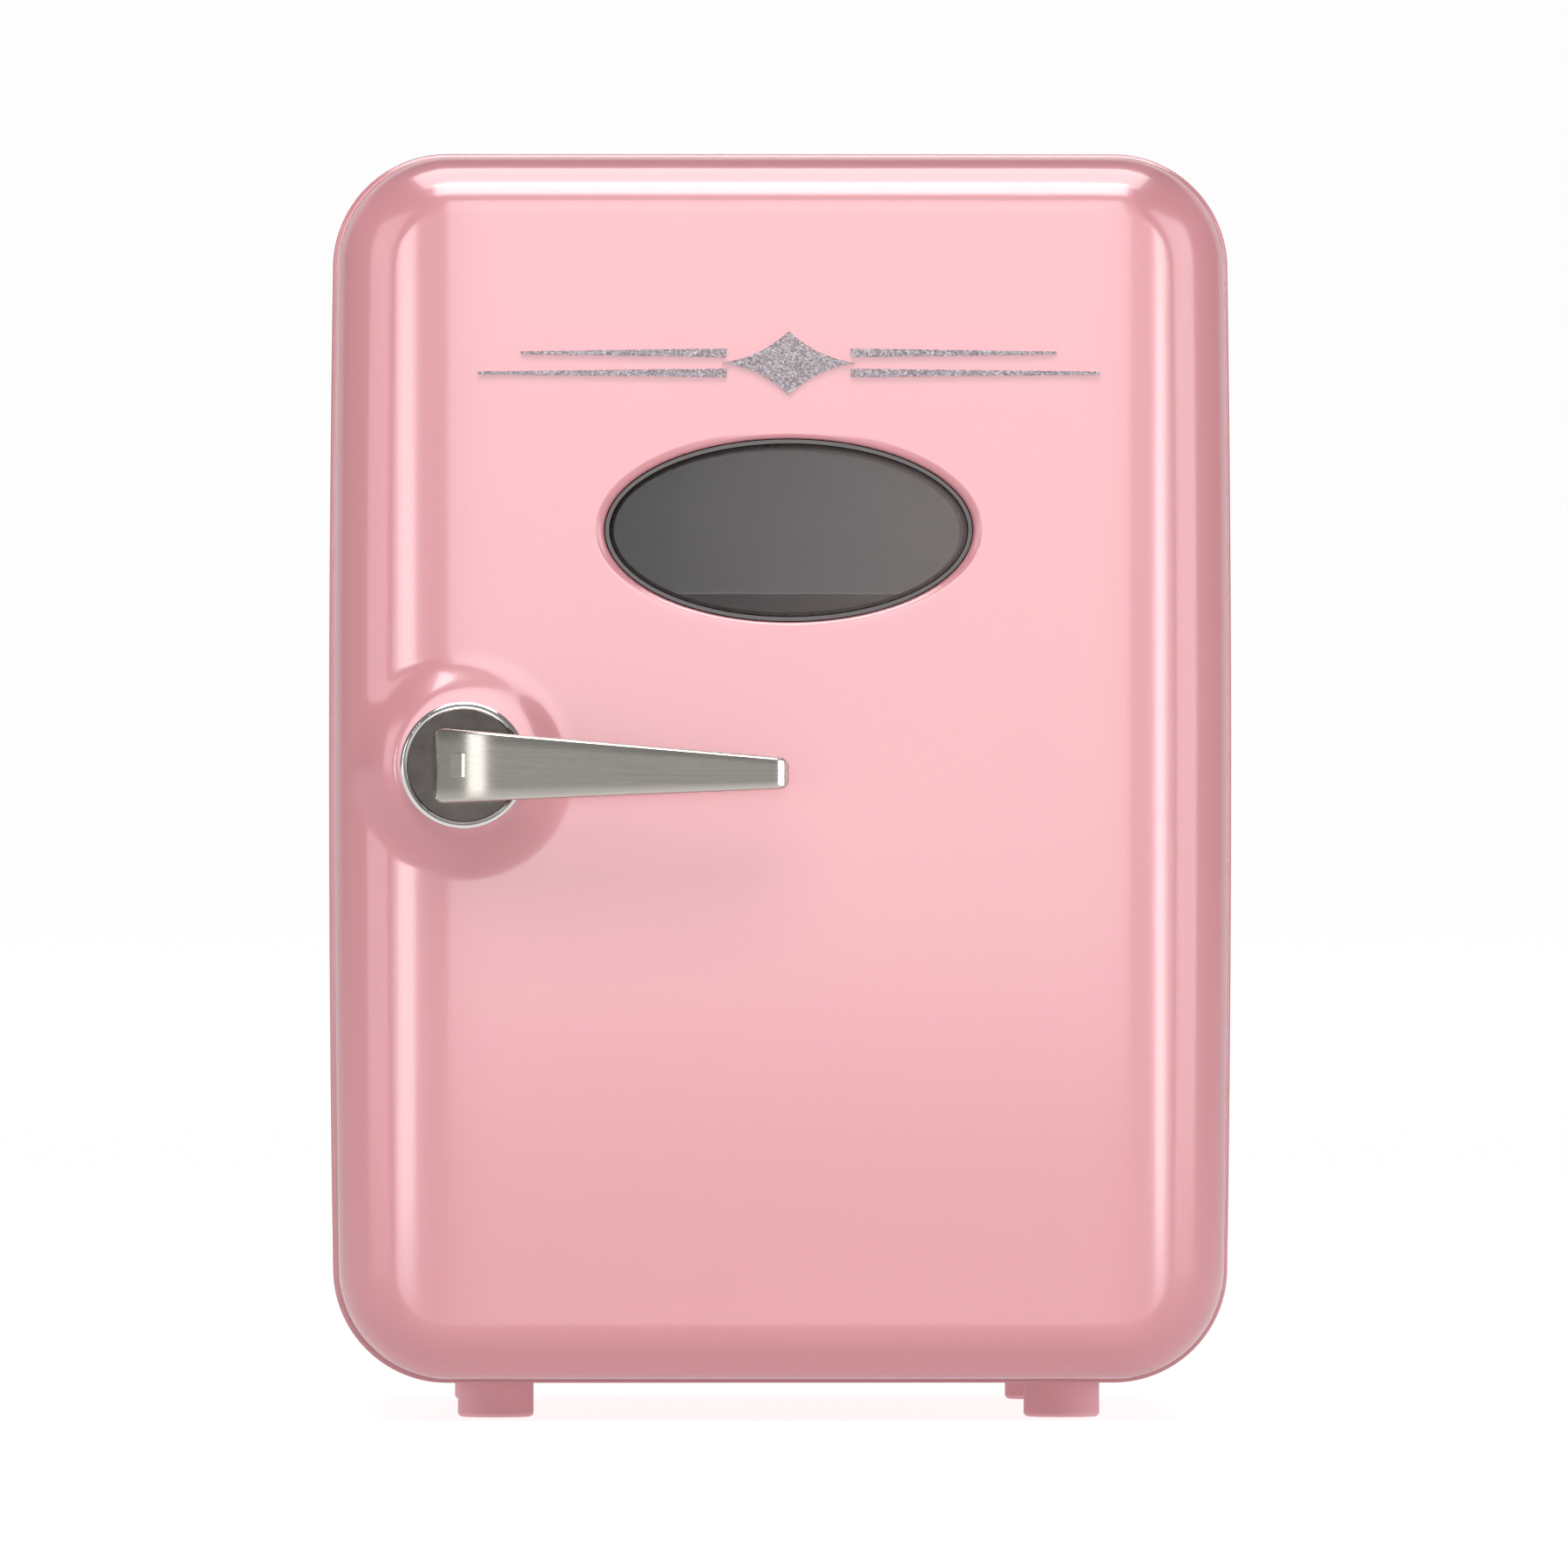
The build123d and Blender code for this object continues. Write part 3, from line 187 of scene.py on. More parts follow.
def linerWhite():
    color = (0.78, 0.79, 0.80)
    made = Finish("linerWhite", color, 0.3, Coat_Weight=0.15, Coat_Roughness=0.2)
    made.vary(made.noise(12.0, 2.0), color, 0.97, 1.01)
    made.feed("Roughness", made.noise(90.0, 3.0) * 0.12 + 0.24)
    made.bump(made.noise(800.0, 2.0), 0.06, 0.0002)
    return made.material


def plain(name, color, roughness, grain=900.0, depth=0.15, metallic=0.0, spread=0.05, **fixed):
    # a moulded or cast surface with fine grain in its colour, gloss and relief
    made = Finish(name, color, roughness, metallic, **fixed)
    tooth = made.noise(grain, 3.0)
    made.vary(made.noise(grain / 30, 2.0), color, 1 - spread, 1 + spread)
    made.feed("Roughness", tooth * 0.16 + (roughness - 0.08))
    made.bump(tooth, depth, 0.0002)
    return made.material


def brushed(name, color, roughness, along, spread=0.08, depth=0.06):
    # metal with fine brushing along one axis
    made = Finish(name, color, roughness, 1.0)
    stretch = tuple(0.02 if axis == along else 1.0 for axis in "xyz")
    lines = made.noise(2400.0, 3.0, 0.6, stretch)
    made.vary(lines, color, 1 - spread, 1 + spread)
    made.feed("Roughness", lines * 0.14 + (roughness - 0.07))
    made.bump(lines, depth, 0.0001)
    return made.material


def glitter():
    # silver flakes of about a third of a millimetre
    made = Finish("silverGlitter", (0.4, 0.36, 0.39), 0.4, 0.85)
    flakes = made.node("ShaderNodeTexVoronoi", None, {"Vector": made.place(), "Scale": 3400.0})
    tone = made.node("ShaderNodeSeparateColor", None, {0: flakes[1]})
    made.feed("Base Color", made.blend(tone[0] ** 1.6, (0.42, 0.34, 0.38, 1), (0.97, 0.90, 0.94, 1)))
    made.feed("Roughness", tone[1] * 0.4 + 0.22)
    made.bump(tone[2], 0.5, 0.0002)
    return made.material


def smokedPane():
    # dark acrylic whose base colour grows paler towards the hinge side: a painted reflection
    made = Finish("smokedPane", (0.105, 0.088, 0.085), 0.08, Alpha=0.62,
                  Coat_Weight=0.3, Coat_Roughness=0.02)
    haze = made.noise(30.0, 3.0)
    across = made.node("ShaderNodeSeparateXYZ", None, {0: made.place()})[0]
    # painted reflection: the base colour runs from dark on the handle side to pale on the hinge side
    dark, pale = (0.012, 0.010, 0.009, 1), (0.15, 0.118, 0.113, 1)
    made.feed("Base Color", made.blend(across * 13.0 + 0.5, dark, pale))
    made.feed("Roughness", haze * 0.05 + 0.05)
    made.feed("Alpha", haze * 0.04 + 0.58)
    return made.material


def clearPane():
    made = Finish("clearPane", (0.55, 0.53, 0.53), 0.06, Alpha=0.14)
    made.feed("Roughness", made.noise(40.0, 3.0) * 0.06 + 0.04)
    return made.material


def circuitBoard():
    color = (0.03, 0.16, 0.07)
    made = Finish("circuitBoard", color, 0.4)
    upright = made.place((260, 260, 260), (math.radians(90), 0, 0))
    tracks = made.node("ShaderNodeTexBrick", {"offset": 0.3}, {"Vector": upright, "Scale": 1.0})[1]
    made.feed("Base Color", made.blend(tracks, rgba(color), (0.05, 0.24, 0.11, 1)))
    made.bump(tracks, 0.2, 0.0001)
    return made.material


finishes = {
    "glossPink": glossPink(),
    "mattPink": mattPink(),
    "litFootRubber": litFootRubber(),
    "linerWhite": linerWhite(),
    "shelfFrost": plain("shelfFrost", (0.70, 0.73, 0.75), 0.34, 500.0, 0.08, Coat_Weight=0.2),
    "foamBead": plain("foamBead", (0.88, 0.88, 0.86), 0.8, 260.0, 0.6),
    "zincSteel": brushed("zincSteel", (0.62, 0.62, 0.64), 0.34, "y"),
    "hingePaint": plain("hingePaint", (0.60, 0.25, 0.28), 0.34, 700.0, 0.06),
    "satinNickel": brushed("satinNickel", (0.58, 0.545, 0.50), 0.26, "x", 0.03, 0.015),
    "chrome": plain("chrome", (0.80, 0.79, 0.78), 0.11, 300.0, 0.01, 1.0, 0.02),
    # the escutcheon's face: chrome with a dark base colour, a painted reflection of the dark surroundings
    "chromePaintedDark": plain("chromePaintedDark", (0.36, 0.32, 0.30), 0.14, 300.0, 0.01, 1.0, 0.05),
    "silverGlitter": glitter(),
    "smokedPane": smokedPane(),
    "clearPane": clearPane(),
    "sleeveGrey": plain("sleeveGrey", (0.16, 0.145, 0.145), 0.3, 600.0, 0.05),
    "gasketGrey": plain("gasketGrey", (0.52, 0.50, 0.50), 0.55, 700.0, 0.15),
    "aluminium": brushed("aluminium", (0.72, 0.73, 0.75), 0.36, "z"),
    "fanBlack": plain("fanBlack", (0.018, 0.018, 0.02), 0.4, 1200.0, 0.25),
    "ceramic": plain("ceramic", (0.82, 0.81, 0.78), 0.6),
    "circuitBoard": circuitBoard(),
    "coilBlack": plain("coilBlack", (0.03, 0.03, 0.035), 0.35),
    "socketBlack": plain("socketBlack", (0.02, 0.02, 0.022), 0.42, 1400.0, 0.2),
    "nylon": plain("nylon", (0.74, 0.74, 0.71), 0.5),
}
slotFinish = {
    "body_pink": "glossPink", "cover_pink": "mattPink", "foot_pink": "litFootRubber",
    "liner_white": "linerWhite", "shelf_clear": "shelfFrost", "foam": "foamBead",
    "zinc_steel": "zincSteel", "hinge_metal": "hingePaint", "satin_nickel": "satinNickel",
    "chrome_trim": "chrome", "dark_mirror": "chromePaintedDark", "silver_glitter": "silverGlitter",
    "smoked_pane": "smokedPane", "clear_pane": "clearPane", "sleeve_grey": "sleeveGrey",
    "gasket_grey": "gasketGrey", "sink_aluminium": "aluminium", "fan_black": "fanBlack",
    "module_ceramic": "ceramic", "board_green": "circuitBoard", "coil_black": "coilBlack",
    "socket_black": "socketBlack", "latch_nylon": "nylon",
}
nodeSlot = {row["node"]: row["material_slot"] for row in frame["record"]["subparts"]}
for nodeName, nodeObject in frame["nodes"].items():
    for holder in nodeObject.material_slots:
        holder.material = finishes[slotFinish[nodeSlot[nodeName]]]
print("finishes on", len(frame["nodes"]), "carried pieces")


def addPiece(name, verts, faces, owner, node, smoothAngle=35.0, corners=None):
    # a finished piece from points in millimetres; it takes the CAD node's slot and finish
    mesh = bpy.data.meshes.new(name)
    mesh.from_pydata([(x * mm, y * mm, z * mm) for x, y, z in verts], [], faces)
    mesh.validate()
    mesh.materials.append(finishes[slotFinish[nodeSlot[node]]])
    mesh.shade_smooth()
    if corners is None:
        tidy = bmesh.new()
        tidy.from_mesh(mesh)
        bmesh.ops.recalc_face_normals(tidy, faces=tidy.faces)
        tidy.to_mesh(mesh)
        tidy.free()
        mesh.set_sharp_from_angle(angle=math.radians(smoothAngle))
    else:
        mesh.normals_split_custom_set(corners)
    piece = bpy.data.objects.new(name, mesh)
    scene.collection.objects.link(piece)
    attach(piece, owner)
    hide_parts(node)


def strip(first, second, count, closed=True):
    # quads between two rings of vertex numbers
    steps = range(count if closed else count - 1)
    return [(first + i, first + (i + 1) % count, second + (i + 1) % count, second + i) for i in steps]


def loftRings(rings, capEnds=False, closeLoop=False):
    # rings of points, all with the same count; returns verts and faces
    count = len(rings[0])
    verts = [point for ring in rings for point in ring]
    faces = []
    for k in range(len(rings) - 1):
        faces += strip(k * count, (k + 1) * count, count)
    if closeLoop:
        faces += strip((len(rings) - 1) * count, 0, count)
    if capEnds:
        faces.append(tuple(range(count)))
        faces.append(tuple(reversed(range((len(rings) - 1) * count, len(rings) * count))))
    return verts, faces


def lathe(profile, center, segments=96, closeLoop=True):
    # profile of (radius, y) turned about a line along Y through center (x, z)
    rings = []
    for radius, y in profile:
        ring = []
        for k in range(segments):
            angle = 2 * math.pi * k / segments
            ring.append((center[0] + radius * math.cos(angle), y, center[1] + radius * math.sin(angle)))
        rings.append(ring)
    return loftRings(rings, closeLoop=closeLoop)


def arcPoints(center, radius, start, end, steps):
    # points on an arc, angles in degrees
    turns = [math.radians(start + (end - start) * k / steps) for k in range(steps + 1)]
    return [(center[0] + radius * math.cos(t), center[1] + radius * math.sin(t)) for t in turns]


shellLow, shellHigh = places("cabinet_shell")
doorLow, doorHigh = places("door_shell")
body = {
    "halfWidth": round((shellHigh.x - shellLow.x) / 2),  # whole: the CAD's facets fall a little short
    "crown": 1.2,  # how far the sides bow out
    "corner": 24.0,
    "wall": 2.4,
    "low": shellLow.z,
    "high": shellHigh.z,
    "step": 4.0,  # spacing of the points up the sides
    "fineStep": 1.2,  # and beside the boss
}
bodyMiddle = (body["low"] + body["high"]) / 2
bodyHalfHeight = (body["high"] - body["low"]) / 2


def sideHalf(z, inset):
    # half width of the body at height z
    return body["halfWidth"] - inset - body["crown"] * ((z - bodyMiddle) / bodyHalfHeight) ** 2


def outline(inset, fineZones=()):
    # points round the front outline with their outward directions, anticlockwise from the lower left
    corner = body["corner"] - inset
    halfHeight = bodyHalfHeight - inset
    points = []

    def rise(side, start, end):
        z = start
        direction = 1 if end > start else -1
        while (end - z) * direction > 1e-6:
            points.append((side * sideHalf(z, inset), z, side, 0.0))
            fine = side < 0 and any(low < z < high for low, high in fineZones)
            z += direction * (body["fineStep"] if fine else body["step"])

    def bendRound(sideX, sideZ, start):
        steps = 22
        cz = bodyMiddle + sideZ * (halfHeight - corner)
        cx = sideX * (sideHalf(cz, inset) - corner)
        for k in range(steps):
            turn = math.radians(start + 90 * k / steps)
            ox, oz = math.cos(turn), math.sin(turn)
            points.append((cx + corner * ox, cz + corner * oz, ox, oz))

    low, high = bodyMiddle - halfHeight, bodyMiddle + halfHeight
    inner = sideHalf(low + corner, inset) - corner
    across = [k / 40 for k in range(40)]
    bendRound(-1, -1, 180)
    points.extend((-inner + 2 * inner * t, low, 0.0, -1.0) for t in across)
    bendRound(1, -1, 270)
    rise(1, low + corner, high - corner)
    bendRound(1, 1, 0)
    points.extend((inner - 2 * inner * t, high, 0.0, 1.0) for t in across)
    bendRound(-1, 1, 90)
    rise(-1, high - corner, low + corner)
    return points


def outlineRing(points, inset, y):
    return [(x - ox * inset, y, z - oz * inset) for x, z, ox, oz in points]


leverLow, leverHigh = places("lever")
ringLow, ringHigh = places("escutcheon_ring")
sleeveLow, sleeveHigh = places("window_sleeve")
armBoxes = [places("hinge_arm_lower"), places("hinge_arm_upper")]
door = {
    "inset": doorLow.z - shellLow.z,
    "face": -110.0,
    "back": doorHigh.y,
    "edgeRadius": 12.0,
    "flatHalf": 58.0,
    "bowRadius": 95.0,
    "bossX": (ringLow.x + ringHigh.x) / 2,
    "bossZ": (ringLow.z + ringHigh.z) / 2,
    "bossFront": ringHigh.y,
    "bossFlat": 12.6,  # radius of the level top of the boss
    "bossFade": 24.5,  # radius where it has melted into the face
    "bossHole": 12.4,
    "windowX": (sleeveLow.x + sleeveHigh.x) / 2,
    "windowZ": (sleeveLow.z + sleeveHigh.z) / 2,
    "windowHalf": ((sleeveHigh.x - sleeveLow.x) / 2 + 0.15, (sleeveHigh.z - sleeveLow.z) / 2 + 0.15),
    "lip": 1.1,  # how far the window's edge turns back
    "notch": (88.0, -91.2),  # x and y behind which the hinge arms come through
    "armClear": 6.2,
    "tuck": 0.2,  # the rearmost edge is drawn in
    "spacing": 3.2,  # of the points over the face
}
doorOutline = outline(door["inset"], [(door["bossZ"] - 30, door["bossZ"] + 30)])


def edgeDistance(x, z):
    # distance in from the door's outline, and the outward direction
    corner = body["corner"] - door["inset"]
    halfHeight = bodyHalfHeight - door["inset"]
    half = sideHalf(z, door["inset"])
    qx, qz = abs(x) - (half - corner), abs(z - bodyMiddle) - (halfHeight - corner)
    sx, sz = math.copysign(1, x), math.copysign(1, z - bodyMiddle)
    if qx > 0 and qz > 0:
        length = math.hypot(qx, qz)
        return corner - length, (sx * qx / length, sz * qz / length)
    if half - abs(x) < halfHeight - abs(z - bodyMiddle):
        return half - abs(x), (sx, 0.0)
    return halfHeight - abs(z - bodyMiddle), (0.0, sz)


def bow(x):
    past = max(0.0, abs(x) - door["flatHalf"])
    return door["bowRadius"] - math.sqrt(door["bowRadius"] ** 2 - past**2)


def doorDepth(x, z):
    # y of the door's outer skin over the point (x, z)
    radius = door["edgeRadius"]
    distance = max(0.0, edgeDistance(x, z)[0])
    y = door["face"] + bow(x)
    if distance < radius:
        y += radius - math.sqrt(max(0.0, radius**2 - (radius - distance) ** 2))
    away = math.hypot(x - door["bossX"], z - door["bossZ"])
    if away < door["bossFade"]:
        t = max(0.0, (away - door["bossFlat"]) / (door["bossFade"] - door["bossFlat"]))
        level = 1 - t**3 * (t * (t * 6 - 15) + 10)
        y = y * (1 - level) + door["bossFront"] * level
    return y


def doorNormal(x, z):
    distance, (ox, oz) = edgeDistance(x, z)
    radius = door["edgeRadius"]
    if distance < 2.0:
        rest = radius - distance
        flat = math.sqrt(max(0.0, radius**2 - rest**2))
        past = max(0.0, abs(x) - door["flatHalf"])
        slope = math.copysign(past / math.sqrt(door["bowRadius"] ** 2 - past**2), x)
        return Vector((slope * flat + rest * ox, -flat, rest * oz)).normalized()
    step = 0.02
    dx = (doorDepth(x + step, z) - doorDepth(x - step, z)) / (2 * step)
    dz = (doorDepth(x, z + step) - doorDepth(x, z - step)) / (2 * step)
    return Vector((dx, -1.0, dz)).normalized()


def windowRadius(x, z):
    # 1 on the window's edge
    halfX, halfZ = door["windowHalf"]
    return math.hypot((x - door["windowX"]) / halfX, (z - door["windowZ"]) / halfZ)


def buildDoorEdge():
    # side wall and edge radius, as rings from the back edge to the start of the face
    verts, normals, faces = [], [], []
    count = len(doorOutline)
    wallSteps, ringSteps = 6, 16
    for k in range(wallSteps):
        for x, z, ox, oz in doorOutline:
            front = doorDepth(x - ox * 1e-4, z - oz * 1e-4)
            tuck = 0.0 if k else door["tuck"]
            y = door["back"] + (front - door["back"]) * k / wallSteps
            verts.append((x - ox * tuck, y, z - oz * tuck))
            normals.append(Vector((ox, 0, oz)))
    for k in range(ringSteps + 1):
        inset = door["edgeRadius"] * (1 - math.cos(math.pi / 2 * k / ringSteps))
        for x, z, ox, oz in doorOutline:
            px, pz = x - ox * inset, z - oz * inset
            verts.append((px, doorDepth(px, pz), pz))
            normals.append(doorNormal(px, pz) if k else Vector((ox, 0, oz)))
    for k in range(wallSteps + ringSteps):
        faces += strip(k * count, (k + 1) * count, count)
    return verts, normals, faces


def faceSpots(rim):
    # points over the face: its rim, rings round the window and the boss, an even grid between
    spots = list(rim)
    edges = [(i, (i + 1) % len(rim)) for i in range(len(rim))]
    around = 120
    for gap in (0.0, 0.12, 0.35, 0.7, 1.1, 2.2, 4.0):
        start = len(spots)
        for k in range(around):
            turn = 2 * math.pi * k / around
            spots.append((
                door["windowX"] + (door["windowHalf"][0] + gap) * math.cos(turn),
                door["windowZ"] + (door["windowHalf"][1] + gap) * math.sin(turn),
            ))
        if gap == 0.0:
            edges += [(start + k, start + (k + 1) % around) for k in range(around)]
    around = 96
    radii = [door["bossHole"]] + [door["bossFlat"] + 0.9 * k for k in range(17)]
    for order, radius in enumerate(radii):
        start = len(spots)
        for k in range(around):
            turn = 2 * math.pi * (k + 0.5 * (order % 2)) / around
            spot = (door["bossX"] + radius * math.cos(turn), door["bossZ"] + radius * math.sin(turn))
            if order == 0 or edgeDistance(*spot)[0] > door["edgeRadius"] + 0.5:
                spots.append(spot)
        if order == 0:
            edges += [(start + k, start + (k + 1) % around) for k in range(around)]
    spacing = door["spacing"]
    for row in range(int(2 * bodyHalfHeight / spacing) + 1):
        for column in range(int(2 * body["halfWidth"] / spacing) + 1):
            x = -body["halfWidth"] + spacing * (column + 0.5 * (row % 2))
            z = body["low"] + spacing * row
            clearEdge = edgeDistance(x, z)[0] > door["edgeRadius"] + 1.6
            clearWindow = windowRadius(x, z) > 1 + 5.5 / door["windowHalf"][1]
            clearBoss = math.hypot(x - door["bossX"], z - door["bossZ"]) > radii[-1] + 1.4
            if clearEdge and clearWindow and clearBoss:
                spots.append((x, z))
    return spots, edges


def facePoint(x, z):
    # point and normal of the face; the lip of the window turns back into the door
    y, normal = doorDepth(x, z), doorNormal(x, z)
    halfX, halfZ = door["windowHalf"]
    lip, gap = door["lip"], max(0.0, (windowRadius(x, z) - 1) * halfZ)
    if gap < lip:
        rest = lip - gap
        drop = lip - math.sqrt(max(0.0, lip**2 - rest**2))
        inward = Vector(((door["windowX"] - x) / halfX**2, 0, (door["windowZ"] - z) / halfZ**2))
        normal = (inward.normalized() * rest + normal * (lip - drop)).normalized()
        y += drop
    return (x, y, z), normal


def buildDoorSkin():
    verts, normals, faces = buildDoorEdge()
    count = len(doorOutline)
    rimStart = len(verts) - count
    rim = [(x, z) for x, y, z in verts[rimStart:]]
    spots, edges = faceSpots(rim)
    made = geometry.delaunay_2d_cdt([Vector(spot) for spot in spots], edges, [], 0, 1e-4)
    spots, triangles, origins = made[0], made[2], made[3]
    number = {}
    for new, (x, z) in enumerate(spots):
        old = origins[new]
        if old and old[0] < count:
            number[new] = rimStart + old[0]
        else:
            number[new] = len(verts)
            vert, normal = facePoint(x, z)
            verts.append(vert)
            normals.append(normal)
    for triangle in triangles:
        cx = sum(spots[i][0] for i in triangle) / 3
        cz = sum(spots[i][1] for i in triangle) / 3
        inBoss = math.hypot(cx - door["bossX"], cz - door["bossZ"]) < door["bossHole"]
        inEdge = edgeDistance(cx, cz)[0] < door["edgeRadius"] - 0.01
        if not (inBoss or inEdge or windowRadius(cx, cz) < 1):
            faces.append(tuple(number[i] for i in triangle))
    return verts, normals, faces


def orient(verts, normals, faces):
    # turn each face to agree with its corners' normals
    done = []
    for face in faces:
        a, b, c = (Vector(verts[i]) for i in face[:3])
        way = (b - a).cross(c - a)
        mean = sum((normals[i] for i in face), Vector())
        done.append(face if way.dot(mean) > 0 else tuple(reversed(face)))
    return done


def shellFrom(verts, normals, faces, thickness, notch):
    # closes an outer skin with an inner one and walls along its open edges, with smooth normals
    faces = [f for f in orient(verts, normals, faces) if not notch([verts[i] for i in f])]
    used = sorted({i for f in faces for i in f})
    renumber = {old: new for new, old in enumerate(used)}
    verts = [verts[i] for i in used]
    normals = [normals[i] for i in used]
    faces = [tuple(renumber[i] for i in f) for f in faces]
    count = len(verts)
    inner = [tuple(Vector(v) - n * thickness) for v, n in zip(verts, normals)]
    edges = {(i, face[(k + 1) % len(face)]) for face in faces for k, i in enumerate(face)}
    walls = [(j, i, i + count, j + count) for i, j in sorted(edges) if (j, i) not in edges]
    allVerts = verts + inner
    allFaces = faces + [tuple(i + count for i in reversed(f)) for f in faces] + walls
    corners = [normals[i] for f in faces for i in f]
    corners += [-normals[i] for f in faces for i in reversed(f)]
    for wall in walls:
        a, b, c = (Vector(allVerts[i]) for i in wall[:3])
        way = (b - a).cross(c - a).normalized()
        corners += [way] * 4
    return allVerts, allFaces, corners


def hingeNotch(corners):
    # the slot in the door's right side where each hinge arm comes through
    cx, cy, cz = (sum(corner[axis] for corner in corners) / len(corners) for axis in range(3))
    clear = door["armClear"]
    inHeight = any(low.z + clear < cz < high.z - clear for low, high in armBoxes)
    return cx > door["notch"][0] and cy > door["notch"][1] and inHeight


skinVerts, skinNormals, skinFaces = buildDoorSkin()
skinVerts, skinFaces, skinCorners = shellFrom(skinVerts, skinNormals, skinFaces, body["wall"], hingeNotch)
addPiece("doorSkin", skinVerts, skinFaces, "door", "door_shell", corners=skinCorners)
print("door skin", len(skinVerts), "points")


def buildCabinet():
    radius, wall = 0.9, body["wall"]
    front, back = shellLow.y, shellHigh.y
    section = [(wall, back), (wall, front)]  # inset and y, from the inner back edge round the front
    for k in range(7):
        turn = math.radians(15 * k)
        section.append((radius * (1 - math.sin(turn)), front + radius * (1 - math.cos(turn))))
    section += [(0.0, front + 4), (0.0, back - 4), (0.0, back - 0.3), (0.3, back)]
    points = outline(0.0)
    return loftRings([outlineRing(points, inset, y) for inset, y in section], closeLoop=True)


cabinetVerts, cabinetFaces = buildCabinet()
addPiece("cabinetSkin", cabinetVerts, cabinetFaces, "cabinet", "cabinet_shell", 40)
print("cabinet skin")


lever = {
    "bendWidth": 15.0,  # the bend at the root is a quarter of an ellipse
    "bendDepth": 11.0,
    "tipBend": 3.2,
    "tipBack": -122.4,
    "rootBack": -115.2,
    "rootHalf": 7.95,  # half heights at both ends
    "tipHalf": 3.1,
    "tipDrop": 1.7,  # the strip runs slightly downhill
    "rootThick": 1.6,
    "thick": 2.2,
    "edge": 0.75,  # rounding along the strip's edges
    "rootCorner": 1.5,
    "tipCorner": 1.2,
    "cheekInside": 5.9,
    "cheekRight": -60.0,
    "pivot": (-68.5, -117.5),
    "tailBack": -98.0,
    "tailHalf": 1.2,
    "tailHeight": 2.4,
}


def leverSpan(x):
    # middle and half height of the strip at x
    t = (x - leverLow.x + 1) / (leverHigh.x - leverLow.x + 2)
    half = lever["rootHalf"] + (lever["tipHalf"] - lever["rootHalf"]) * t
    return door["bossZ"] - lever["tipDrop"] * t, half


def leverCut(x):
    # how much the rounded corners at both ends take off the strip's half height
    cut = 0.0
    for radius, gap in ((lever["rootCorner"], x - leverLow.x), (lever["tipCorner"], leverHigh.x - x)):
        if gap < radius:
            cut = radius - math.sqrt(radius**2 - (radius - max(0.0, gap)) ** 2)
    return cut


def leverPath():
    # outer line of the strip seen from above: x, y, outward direction, thickness
    left, right, front = leverLow.x, leverHigh.x, leverLow.y
    width, depth = lever["bendWidth"], lever["bendDepth"]
    middle = (left + width, front + depth)
    path = [(left, lever["rootBack"], (-1, 0), lever["rootThick"])]
    for k in range(25):
        turn = math.radians(180 + 90 * k / 24)
        out = Vector((math.cos(turn) / width, math.sin(turn) / depth)).normalized()
        thick = lever["rootThick"] + (lever["thick"] - lever["rootThick"]) * k / 24
        spot = (middle[0] + width * math.cos(turn), middle[1] + depth * math.sin(turn))
        path.append((*spot, tuple(out), thick))
    bend = lever["tipBend"]
    span = right - bend - middle[0]
    path += [(middle[0] + span * k / 10, front, (0, -1), lever["thick"]) for k in range(1, 10)]
    for k in range(9):
        turn = math.radians(270 + 90 * k / 8)
        out = (math.cos(turn), math.sin(turn))
        path.append((right - bend + bend * out[0], front + bend + bend * out[1], out, lever["thick"]))
    path.append((right, lever["tipBack"], (1, 0), lever["thick"]))
    return path


def leverStrip():
    rings = []
    edge = lever["edge"]
    turns = [math.radians(18 * k) for k in range(6)]
    for x, y, out, thick in leverPath():
        middle, half = leverSpan(x)
        half -= leverCut(x)
        section = [(-thick, -half + 0.2)]
        section += [(-edge + edge * math.sin(t), -half + edge - edge * math.cos(t)) for t in turns]
        section += [(0.0, (half - edge) * k / 3) for k in range(-2, 3)]
        section += [(-edge + edge * math.cos(t), half - edge + edge * math.sin(t)) for t in turns]
        section += [(-thick, half - 0.2)]
        rings.append([(x + out[0] * depth, y + out[1] * depth, middle + height) for depth, height in section])
    return loftRings(rings, capEnds=True)


def prism(points, low, high):
    # closed solid over a flat outline; low and high give z at each point
    count = len(points)
    verts = [(x, y, low(x)) for x, y in points] + [(x, y, high(x)) for x, y in points]
    faces = strip(0, count, count) + [tuple(range(count)), tuple(range(count, 2 * count))]
    return verts, faces


def join(*parts):
    verts, faces = [], []
    for partVerts, partFaces in parts:
        faces += [tuple(i + len(verts) for i in face) for face in partFaces]
        verts += partVerts
    return verts, faces


def buildLever():
    # the strip, two cheeks that close its bend, the tail that pushes the latch, and a knuckle on the pin
    inset, frontInset, clear = 0.8, 1.1, 0.15
    middle = (leverLow.x + lever["bendWidth"], leverLow.y + lever["bendDepth"])
    cheek = []
    for k in range(19):
        turn = math.radians(180 + 90 * k / 18)
        cheek.append((middle[0] + (lever["bendWidth"] - inset) * math.cos(turn),
                      middle[1] + (lever["bendDepth"] - frontInset) * math.sin(turn)))
    cheek += [(lever["cheekRight"], lever["rootBack"]), (leverLow.x + inset, lever["rootBack"])]
    inside, axis = lever["cheekInside"], door["bossZ"]

    def reach(x, side):
        center, half = leverSpan(x)
        return center + side * (half - leverCut(x) - clear)

    upper = prism(cheek, lambda x: axis + inside, lambda x: reach(x, 1))
    lower = prism(cheek, lambda x: reach(x, -1), lambda x: axis - inside)
    px, py = lever["pivot"]
    back, front, width = lever["tailBack"], leverLow.y + 1.5, lever["tailHalf"]
    tail = [(px - width, back), (px - width, front), (px + width, front)]
    tail += arcPoints((px, back), 1.3, 0, 180, 12)
    knuckle = arcPoints((px, py), 2.2, 0, 345, 23)
    high = lever["tailHeight"]
    bars = [prism(shape, lambda x: axis - high, lambda x: axis + high) for shape in (tail, knuckle)]
    return join(leverStrip(), upper, lower, *bars)


